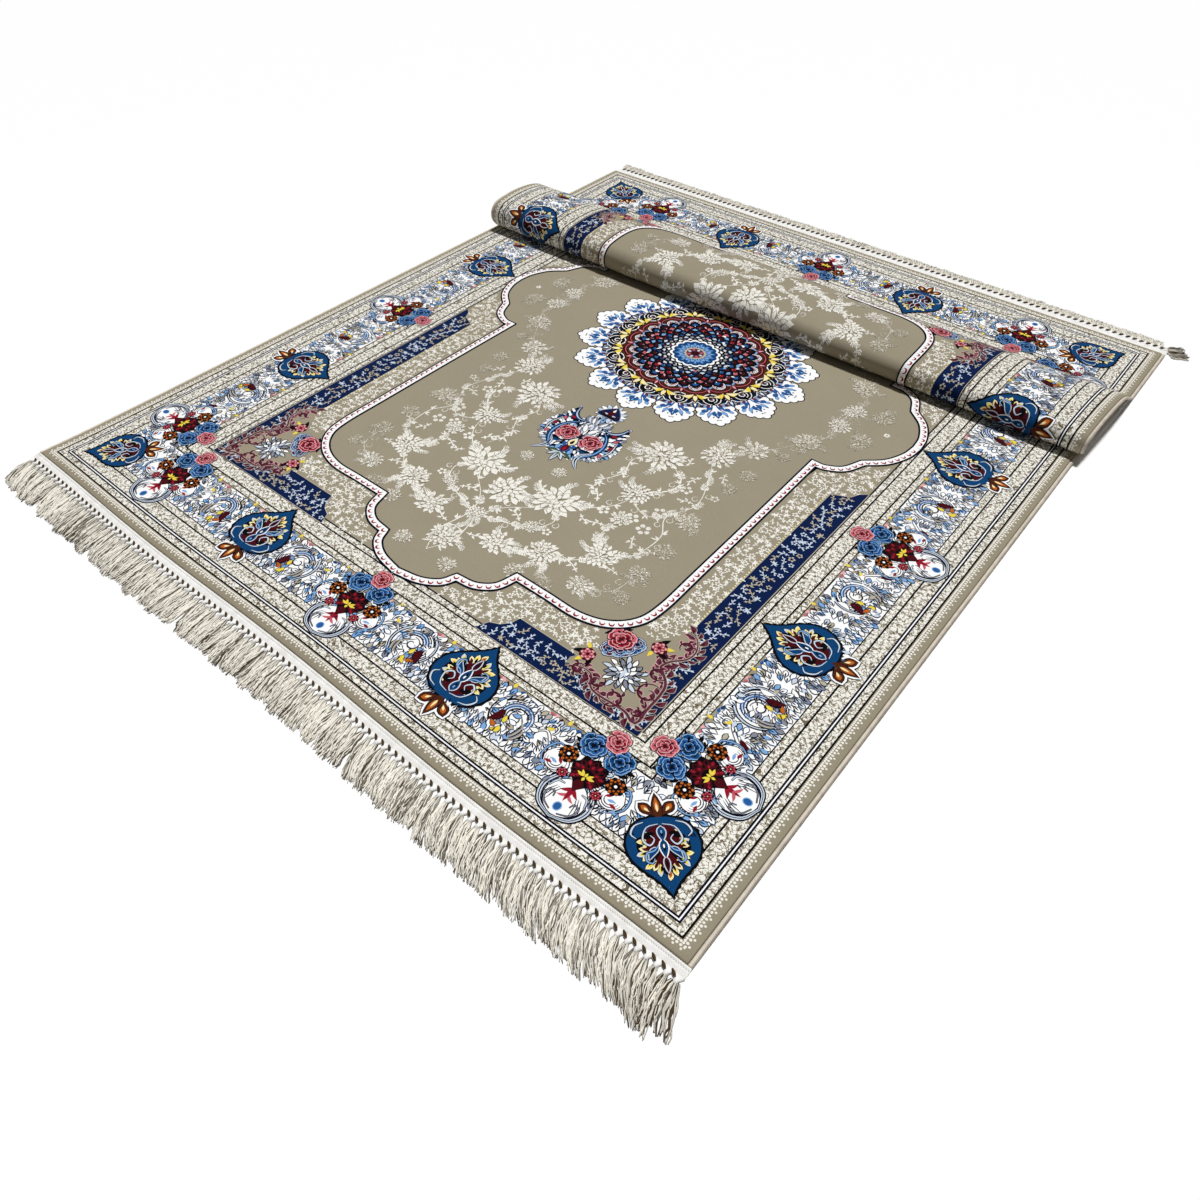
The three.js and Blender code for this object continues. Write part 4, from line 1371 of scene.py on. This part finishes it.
def buildInlay(name, groups):
    # groups are (drawing, mirrored across, mirrored along); all of them lie on one sheet of figures
    names = sorted({yarn for drawing, _, _ in groups for _, yarn, _ in drawing})
    levels = sorted({level for drawing, _, _ in groups for _, _, level in drawing})
    step = min(inlay["step"], inlay["rise"] / len(levels))
    triangles, marks = [], []
    for drawing, across, along in groups:
        own, ownMarks = [], []
        for k, (outline, yarn, level) in enumerate(drawing):
            filled = spanned(outline)
            own.append(filled)
            # shapes of one level lie a hair apart, as faces at the same height would shade each other
            ownMarks.append(np.full((len(filled), 2),
                                    (names.index(yarn), 1000 * levels.index(level) + 618 * k % 1000 * 0.9)))
        own, ownMarks = np.concatenate(own), np.concatenate(ownMarks)
        for flipX in ((1, -1) if across else (1,)):
            for flipV in ((1, -1) if along else (1,)):
                triangles.append(own * (flipX, flipV) + (0, 0 if flipV > 0 else cloth["length"]))
                marks.append(ownMarks + (0, 11 * (1 - flipX) + 23 * (1 - flipV)))
    triangles, marks = cutAlong(np.concatenate(triangles), np.concatenate(marks))
    clockwise = turnsLeft(triangles) < 0
    triangles[clockwise] = triangles[clockwise][:, ::-1]
    keys = np.concatenate([np.round(triangles.reshape(-1, 2) * 100), np.repeat(marks, 3, 0)], 1).astype(int)
    keys, first, corner = np.unique(keys, axis=0, return_index=True, return_inverse=True)
    faces = corner.reshape(-1, 3)
    faces = faces[(faces[:, 0] != faces[:, 1]) & (faces[:, 1] != faces[:, 2]) & (faces[:, 0] != faces[:, 2])]
    flat = triangles.reshape(-1, 2)[first]
    height = halfThick + inlay["lift"] + step * keys[:, 3] / 1000
    points, normals = onRows(np.clip(flat[:, 0], -halfWidth, halfWidth), flat[:, 1], height)
    mesh = meshFrom(name, points, faces, normals)
    palette = np.array([yarnColour(yarn) for yarn in names], np.float32)
    dye = mesh.color_attributes.new("yarn", "FLOAT_COLOR", "POINT")
    dye.data.foreach_set("color", palette[keys[:, 2]].ravel())
    piece = newPiece(name, mesh, [figureMaterial])
    print(name, len(faces), "triangles,", len(levels), "levels")
    return piece


figures = [
    buildInlay("border_leaves", [(borderLeaves(), True, True)]),
    buildInlay("border_figures", [(borderQuarter(), True, True), (borderEndMiddle(), False, True),
                                  (borderSideMiddle(), True, False)]),
    buildInlay("corner_figures", [(cornerPiece() + moved(spandrelSprigs(), up=1), True, True),
                                  (moved(fieldFrame(), up=40), True, True)]),
    buildInlay("field_flowers", [(fieldFlowers(), True, True), (fieldMiddleFlowers(), False, True)]),
    buildInlay("medallion_figure", [(moved(medallionFigure(), 0, medallion["middle"]), False, False),
                                    (moved(pendant(), 0, pendantAt), False, True)]),
]
print("figures built")

# cotton of the fringes and of the overcast edges; each strand keeps its own tone between these colours
cotton = {
    "tape": ("fbfaf7", "8d8577", (0.35, 1, 1)),     # pale and deep colour, and how the fibres are drawn out
    # the strand's deep colour also gives the painted shade of the eyes, of the lowest strands and of the
    # strands that stand in for shade
    "strand": ("fcf7ea", "4a3a20", (1, 0.35, 1)),
    # the cord's deep colour also gives the painted shade on its outer side and in the grooves between
    # stitches
    "cord": ("e9dfcf", "594936", (1, 1, 1)),
    "roughness": 0.88, "sheen": 0.1, "sheenRoughness": 0.4, "specular": 0.1,
    "fibre": 0.5, "relief": 0.35, "fibreDepth": 0.4, "patchScale": 70.0, "uneven": 0.5,
}


def cottonMaterial(name):
    pale, deep, stretch = cotton[name]
    material = newMaterial(name)
    tree = material.node_tree
    tone = node(tree, "ShaderNodeAttribute", attribute_name="tone").outputs["Fac"]
    place = node(tree, "ShaderNodeTexCoord").outputs["Object"]
    drawn = node(tree, "ShaderNodeVectorMath", {0: place, 1: stretch}, operation="MULTIPLY").outputs[0]
    fibres = noise(tree, drawn, 1 / (cotton["fibre"] * mm), 2.0, Roughness=0.6)
    patches = noise(tree, place, cotton["patchScale"], 2.0)
    uneven, share = cotton["uneven"], tone
    for change in (fibres, patches):
        share = sums(tree, "ADD", share, sums(tree, "MULTIPLY_ADD", change, uneven, -uneven / 2))
    clamped = node(tree, "ShaderNodeClamp", {0: share}).outputs[0]
    colour = blendColours(tree, clamped, dyed(pale), dyed(deep))
    finish(tree, colour, cotton, fibres, cotton["relief"], cotton["fibreDepth"])
    return material


cordYarn, strandYarn, tapeYarn = (cottonMaterial(name) for name in ("cord", "strand", "tape"))


def gridFaces(rows, columns, first=0, wrap=False):
    at = first + np.arange(rows * columns).reshape(rows, columns)
    if wrap:
        at = np.concatenate([at, at[:, :1]], 1)
    return np.stack([at[:-1, :-1], at[:-1, 1:], at[1:, 1:], at[1:, :-1]], -1).reshape(-1, 4)


def tubes(paths, radius, sides, flat=1.0):
    # closed tubes along many paths at once: paths is (tubes, rings, 3) and radius (tubes, rings)
    count, rings = paths.shape[:2]
    step = np.gradient(paths, axis=1)
    step /= np.maximum(np.linalg.norm(step, axis=2), 1e-9)[..., None]
    across = np.cross(step, (0, 0, 1.0))
    across /= np.maximum(np.linalg.norm(across, axis=2), 1e-9)[..., None]
    rise = np.cross(across, step)
    a = np.arange(sides) * 2 * np.pi / sides + np.pi / sides
    wide = across[:, :, None] * np.cos(a)[:, None]
    high = rise[:, :, None] * np.sin(a)[:, None] * flat
    points = paths[:, :, None] + (wide + high) * radius[:, :, None, None]
    faces = [tuple(face) for k in range(count) for face in gridFaces(rings, sides, k * rings * sides, True)]
    for k in range(count):
        start, end = k * rings * sides, (k + 1) * rings * sides
        faces += [tuple(range(start, start + sides)), tuple(range(end - 1, end - sides - 1, -1))]
    return points.reshape(-1, 3), faces


def joined(name, parts, material):
    # one mesh out of (points, faces, tone of each point) in millimetres
    points, faces, tones, first = [], [], [], 0
    for partPoints, partFaces, partTones in parts:
        points.append(partPoints)
        faces += [tuple(int(i) + first for i in face) for face in partFaces]
        tones.append(np.broadcast_to(partTones, len(partPoints)))
        first += len(partPoints)
    mesh = meshFrom(name, np.concatenate(points) * mm, faces)
    tone = mesh.attributes.new("tone", "FLOAT", "POINT")
    tone.data.foreach_set("value", np.concatenate(tones).astype(np.float32))
    return newPiece(name, mesh, [material])


binding = {
    "stitchPitch": 2.9, "samples": 2, "stitchDepth": 0.32,
    "section": [(0.0, -0.4), (0.06, 1.7), (0.3, 2.9), (0.55, 3.1), (0.82, 2.4), (1.0, 0.9), (1.0, -1.2),
                (0.8, -2.6), (0.5, -3.1), (0.12, -2.3)],   # share across the cord and height over its middle
}


def buildBinding(side):
    rows = int(cloth["length"] / binding["stitchPitch"] * binding["samples"]) + 1
    v = np.linspace(0, cloth["length"], rows)
    section = np.array(binding["section"])
    around = np.arange(len(section)) / len(section)
    slant = v[:, None] / binding["stitchPitch"] + around[None]
    stitch = np.abs(np.sin(np.pi * slant)) - 0.6
    centre = section.mean(0)
    reach = section - centre
    size = np.linalg.norm(reach * (cloth["cordWidth"], 1), axis=1)[None, :, None]
    grow = 1 + binding["stitchDepth"] * stitch[..., None] / size
    ring = centre + reach * grow
    x = side * (halfWidth + cloth["gap"] + np.clip(ring[..., 0], 0, 1) * cloth["cordWidth"])
    points = onCloth(x, np.repeat(v[:, None], len(section), 1), ring[..., 1] * 0.96)[0] / mm
    faces = gridFaces(rows, len(section), 0, True)
    if side < 0:
        faces = faces[:, ::-1]
    last = rows * len(section)
    ends = [tuple(range(len(section)))[::side], tuple(range(last - len(section), last))[::-side]]
    # painted shade: the cord's outer side, past 0.8 of its width, is darker, and so are the grooves between
    # stitches, while the stitches' crowns are paler
    tone = 0.22 + 0.4 * (ring[..., 0] > 0.8) - 0.45 * stitch
    name = "binding_right_yarn" if side > 0 else "binding_left_yarn"
    return joined(name, [(points.reshape(-1, 3), list(faces) + ends, tone.ravel())], cordYarn)


fringe = {
    "pitch": 14.25, "count": 105, "groupPitch": 107, "groupLean": 0.06,
    "tapeHeight": (8.0, 3.4), "ribPitch": 3.6, "ribSamples": 2, "ribDepth": 0.2, "stitchAt": 4.6,
    "tapeScallop": 1.21, "tapeTone": 0.12, "stitchTone": 0.75,
    "webs": ((5.3, 1.3), (2.4, 1.6)), "webRadius": 3.0, "webTone": 0.05,   # webs: sideways start and height
    "knotAt": 8.5, "knotRadius": 3.5, "knotReach": 2.9, "knotTone": 0.08,
    "rings": 9, "sides": 3, "strandRadius": 0.98, "spread": (3.4, 9.2), "wave": 2.3,
    "leanAt": (-741, -300, 100, 450, 640, 700, 741), "leanNear": (0.42, 0.1, 0.12, 0.42, 0.52, 0.42, 0.22),
    # a share of strands, picked at random, and the lowest strands are darkened to stand in for the shade
    # between and under strands: painted shade
    "tones": (-0.1, 0.28), "shadeStrandShare": 0.22, "shadeStrandTone": 0.75, "underShadeTone": 0.6, "tipTone": 0.25,
    # the eyes are dark cotton that stands in for the shadow in the openings between the webs: painted shade
    "eyeOut": 2.2, "eyeReach": (4.2, 3), "eyeHeight": 4.6, "eyeRadius": (1.0, 2.2, 2.2, 1.0), "eyeShadeTone": 1.3,
    "cornerTurn": 60, "cornerStart": -9,
    # each of these is for the near end, then for the far end
    "ends": {
        "tapeWidth": (16, 31), "root": (15.4, 30.4), "length": (75, 36), "strands": (20, 16),
             "toneShare": (1, 0.45),
        "cornerLength": (72, 56), "cornerSpread": (1.9, 2.7), "cornerThick": (1.5, 2.1),
             "cornerTone": (0.12, 0.42),
    },
}


def fringeAt(end):
    return {name: pair[int(end > 0)] for name, pair in fringe["ends"].items()}


def clothEdge(x, end):
    # where the cloth's lower end line lies, in millimetres
    points = onCloth(x, np.full(np.shape(x), 0.0 if end < 0 else float(cloth["length"])), -halfThick)[0] / mm
    return points[..., 0], points[..., 1]


def tapePart(end):
    # the woven tape: cross ribs, a row of stitches and a scalloped outer edge
    half = halfWidth + cloth["cordWidth"] + cloth["gap"]
    columns = int(2 * half / fringe["ribPitch"] * fringe["ribSamples"]) + 1
    xs = np.linspace(-half, half, columns)
    width = fringeAt(end)["tapeWidth"]
    across = np.array([0, 0, 0.8, 3.4, fringe["stitchAt"], 5.8, 8.5, 11, width - 2.5, width - 0.5, width,
                       width])
    top = np.array([0, 0.7, 1, 1, 0.86, 1, 1.05, 0.95, 1, 0.85, 0.55, 0])
    edgeX, edgeY = clothEdge(xs, end)
    onRib = np.arange(columns) % fringe["ribSamples"] == 0
    ribs = 1 - fringe["ribDepth"] * onRib
    scallop = fringe["tapeScallop"] * np.abs(np.sin(np.pi * xs / fringe["pitch"])) ** 0.8
    reach = across[None] - scallop[:, None] * (across[None] > width - 4)
    height = between(fringe["tapeHeight"], np.clip(across / width, 0, 1) ** 0.8)
    z = height * top[None] * np.where(across[None] > 0.5, ribs[:, None], 1)
    y = edgeY[:, None] + end * (cloth["gap"] + reach)
    points = np.stack([np.repeat(edgeX[:, None], len(across), 1), y, z], -1)
    faces = gridFaces(columns, len(across), 0, True)
    if end > 0:
        faces = faces[:, ::-1]
    last = columns * len(across)
    ends = [tuple(range(len(across)))[::-end], tuple(range(last - len(across), last))[::end]]
    tone = fringe["tapeTone"] + fringe["stitchTone"] * (across == fringe["stitchAt"]) * onRib[:, None]
    return points.reshape(-1, 3), list(faces) + ends, np.broadcast_to(tone, (columns, len(across))).ravel()


def websPart(edgeX, edgeY, end):
    # cotton drawn together from the tape to each knot
    root, webs = fringeAt(end)["root"] - 1.5, []
    share = np.linspace(0, 1, 5)[None]
    for side in (-1, 1):
        for offset, low in fringe["webs"]:
            x = edgeX + side * offset * (1 - share) ** 1.2
            y = edgeY + end * (root + share * (fringe["knotAt"] + 1.5))
            webs.append(np.stack([x, y, np.broadcast_to(low + 1.2 * share, x.shape)], -1))
    webs = np.concatenate(webs)
    return *tubes(webs, np.full(webs.shape[:2], fringe["webRadius"]), 5, 0.8), fringe["webTone"]


def knotsPart(edgeX, edgeY, end):
    share, reach = np.linspace(-1, 1, 6)[None], fringe["knotReach"]
    y = edgeY + end * (fringeAt(end)["root"] + fringe["knotAt"] + reach * share)
    knots = np.stack([np.broadcast_to(edgeX, y.shape), y, np.full(y.shape, reach)], -1)
    radius = fringe["knotRadius"] * np.sqrt(np.clip(1.06 - share ** 2, 0, 1))
    radius = radius * (1 + 0.10 * np.cos(3 * np.pi * share))
    return *tubes(knots, np.broadcast_to(radius, y.shape), 6, 0.95), fringe["knotTone"]


def eyesPart(edgeX, edgeY, end):
    # dark cotton put in the openings between the webs, standing in for the shadow seen through them: painted
    # shade
    share, (long, deep) = np.linspace(-1, 1, 4)[None], fringe["eyeReach"]
    x = edgeX + fringe["pitch"] / 2 + long * share
    y = edgeY + end * (fringeAt(end)["root"] + fringe["eyeOut"] + deep * share)
    eyes = np.stack([x, y, np.full(x.shape, fringe["eyeHeight"])], -1)[:-1]
    return *tubes(eyes, np.broadcast_to(fringe["eyeRadius"], eyes.shape[:2]), 5), fringe["eyeShadeTone"]


def strandsPart(x, edgeX, edgeY, end):
    # loose strands of every tassel, from its knot to its tips; the last tassel is a thick bunch at the corner
    own = fringeAt(end)
    picker = np.random.default_rng(21 + end)
    index = np.arange(fringe["count"])
    lean = np.interp(x, fringe["leanAt"], fringe["leanNear"]) if end < 0 else 0.05 * np.sin(x / 60)
    lean = lean - fringe["groupLean"] * ((x + 17 * np.sin(x / 90)) / fringe["groupPitch"] % 1 * 2 - 1)
    uneven = 0.12 * (end * x < -690) + 0.045 * np.sin(2.4 * index + end) + 0.03 * np.sin(5.1 * index)
    length = own["length"] * (1 + uneven)
    length[-1] = own["cornerLength"]
    if end > 0:
        lean[-1] = 0
    shape = (fringe["count"], own["strands"], fringe["rings"])
    t = np.broadcast_to(np.linspace(0, 1, shape[2]), shape)
    rank = np.arange(shape[1]) / (shape[1] - 1) * 2 - 1
    order = np.array([picker.permutation(rank) for _ in index])[:, :, None]
    ends = length[:, None, None] * (1 + picker.uniform(-0.07, 0.03, shape[:2])[..., None])
    forward = fringe["knotAt"] + t * (ends - fringe["knotAt"])
    widening = np.clip(t * 2, 0, 1) ** 0.6
    spread = between(fringe["spread"], widening) * picker.uniform(0.8, 1.12, (shape[0], 1, 1))
    spread[-1] *= own["cornerSpread"]
    pull = picker.normal(0, 0.06, (shape[0], 1, 1))
    turns = t * picker.uniform(0.8, 2.6, shape[:2])[..., None]
    phase = picker.uniform(0, 6.3, shape[:2])[..., None]
    waves = fringe["wave"] * t ** 0.5 * np.sin(2 * np.pi * turns + phase)
    along = forward / length[:, None, None]
    strandX = edgeX[..., None] + (lean[:, None, None] + pull) * forward * along + order * spread + waves
    strandY = edgeY[..., None] + end * (own["root"] + forward)
    layer = np.broadcast_to((np.arange(shape[1]) % 3)[None, :, None], shape)
    heaped = 2.6 + (layer - 1) * 0.7
    lying = 0.85 + layer * 1.25 * (1 - 0.35 * t)
    strandZ = heaped + (lying - heaped) * np.clip(t * 3, 0, 1)
    strandZ = np.maximum(strandZ + 0.35 * np.sin(9 * t + 5 * order), fringe["strandRadius"] + 0.05)
    if end > 0:
        turn = math.radians(fringe["cornerTurn"]) * np.clip(t[-1] * 4, 0, 1)
        cornerX, cornerY = edgeX[-1], edgeY[-1] + own["root"] + fringe["cornerStart"]
        offX, offY = strandX[-1] - cornerX, strandY[-1] - edgeY[-1] - (own["root"] + fringe["knotAt"])
        strandX[-1] = cornerX + offX * np.cos(turn) + offY * np.sin(turn)
        strandY[-1] = cornerY + offY * np.cos(turn) - offX * np.sin(turn)
    paths = np.stack([strandX, strandY, strandZ], -1).reshape(-1, shape[2], 3)
    taper = 1 - 0.35 * np.abs(2 * t - 1) ** 6
    radius = fringe["strandRadius"] * taper * (1 + 0.12 * np.sin(40 * t + order))
    radius[-1] *= own["cornerThick"]
    points, faces = tubes(paths, radius.reshape(-1, shape[2]), fringe["sides"])
    tone = picker.uniform(*fringe["tones"], shape[:2])
    # painted shade: a share of strands, picked at random, is darkened to stand in for the deep shade between
    # strands
    tone = tone + fringe["shadeStrandTone"] * (picker.random(shape[:2]) < fringe["shadeStrandShare"])
    # painted shade: the strands of the lowest layer, under the others, are darker
    tone = (tone + fringe["underShadeTone"] * (layer[..., 0] == 0)) * own["toneShare"]
    # painted shade: the near fringe's strands darken towards the right corner
    if end < 0:
        tone += np.interp(x, (640, 741), (0, 0.22))[:, None]
    tone[-1] += own["cornerTone"]
    tips = (fringe["tipTone"] * (t - 0.7)).ravel()
    tone = np.repeat(tone.ravel(), shape[2] * fringe["sides"]) + np.repeat(tips, fringe["sides"])
    return points, faces, tone


def buildFringe(end, name):
    x = (np.arange(fringe["count"]) - (fringe["count"] - 1) / 2) * fringe["pitch"]
    edge = [row[:, None] for row in clothEdge(x, end)]
    pale = [tapePart(end), websPart(*edge, end), knotsPart(*edge, end)]
    piece = joined(name, pale + [strandsPart(x, *edge, end), eyesPart(*edge, end)], strandYarn)
    piece.data.materials.append(tapeYarn)
    marks = np.zeros(len(piece.data.polygons), int)
    marks[:sum(len(part[1]) for part in pale)] = 1
    piece.data.polygons.foreach_set("material_index", marks)
    return piece


bindingLeft, bindingRight = buildBinding(-1), buildBinding(1)
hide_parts("binding_left")
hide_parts("binding_right")
print("bindings built")
fringeNear, fringeFar = buildFringe(-1, "fringe_near_yarn"), buildFringe(1, "fringe_far_yarn")
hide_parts("fringe_near")
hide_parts("fringe_far")
print("fringes built")

# camera: focal length and where the optical axis meets the picture are in pixels of a 1200 pixel square
view = {
    "frame": 1200, "focal": 1006.4, "axisX": 505.8, "axisY": 518.0,
    "place": (943.5, -545.6, 1198.6), "yaw": -41.9, "down": 41.613, "roll": 0.235,
}


def buildCamera():
    data = bpy.data.cameras.new("camera")
    data.sensor_width = 36
    data.lens = view["focal"] / view["frame"] * data.sensor_width
    data.shift_x = (view["frame"] / 2 - view["axisX"]) / view["frame"]
    data.shift_y = (view["axisY"] - view["frame"] / 2) / view["frame"]
    camera = bpy.data.objects.new("camera", data)
    bpy.context.scene.collection.objects.link(camera)
    x, y, z = view["place"]
    camera.location = Vector((x - centreX, y - centreY, z)) * mm
    turn = Matrix.Rotation(-math.radians(view["yaw"]), 4,
                           "Z") @ Matrix.Rotation(math.radians(90 - view["down"]), 4, "X")
    camera.rotation_euler = (turn @ Matrix.Rotation(-math.radians(view["roll"]), 4, "Z")).to_euler()
    bpy.context.scene.camera = camera


buildCamera()
print("camera ready")

studio = {
    "world": 0.1, "lamp": 3.0, "softness": 6, "lampFrom": (-0.02, 0.2, 1),
    "floor": 0.97, "floorReach": 20, "floorRoughness": 0.9, "floorSpecular": 0.1,
}


def buildStudio():
    scene = bpy.context.scene
    scene.view_settings.view_transform = "Standard"
    world = bpy.data.worlds.new("studio")
    world.use_nodes = True
    background = world.node_tree.nodes["Background"]
    background.inputs["Color"].default_value = (1, 1, 1, 1)
    background.inputs["Strength"].default_value = studio["world"]
    scene.world = world
    light = bpy.data.lights.new("softLamp", "SUN")
    light.energy = studio["lamp"]
    light.angle = math.radians(studio["softness"])
    lamp = bpy.data.objects.new("softLamp", light)
    lamp.location = studio["lampFrom"]
    lamp.rotation_euler = (-Vector(studio["lampFrom"])).to_track_quat("-Z", "Y").to_euler()
    scene.collection.objects.link(lamp)
    mesh = bpy.data.meshes.new("floor")
    reach = studio["floorReach"]
    corners = [(-reach, -reach, 0), (reach, -reach, 0), (reach, reach, 0), (-reach, reach, 0)]
    mesh.from_pydata(corners, [], [(0, 1, 2, 3)])
    floor = bpy.data.objects.new("floor", mesh)
    scene.collection.objects.link(floor)
    material = newMaterial("pale_floor")
    tree = material.node_tree
    finish(tree, (studio["floor"],) * 3 + (1,),
           {"roughness": studio["floorRoughness"], "specular": studio["floorSpecular"]})
    mesh.materials.append(material)


buildStudio()
print("studio ready")
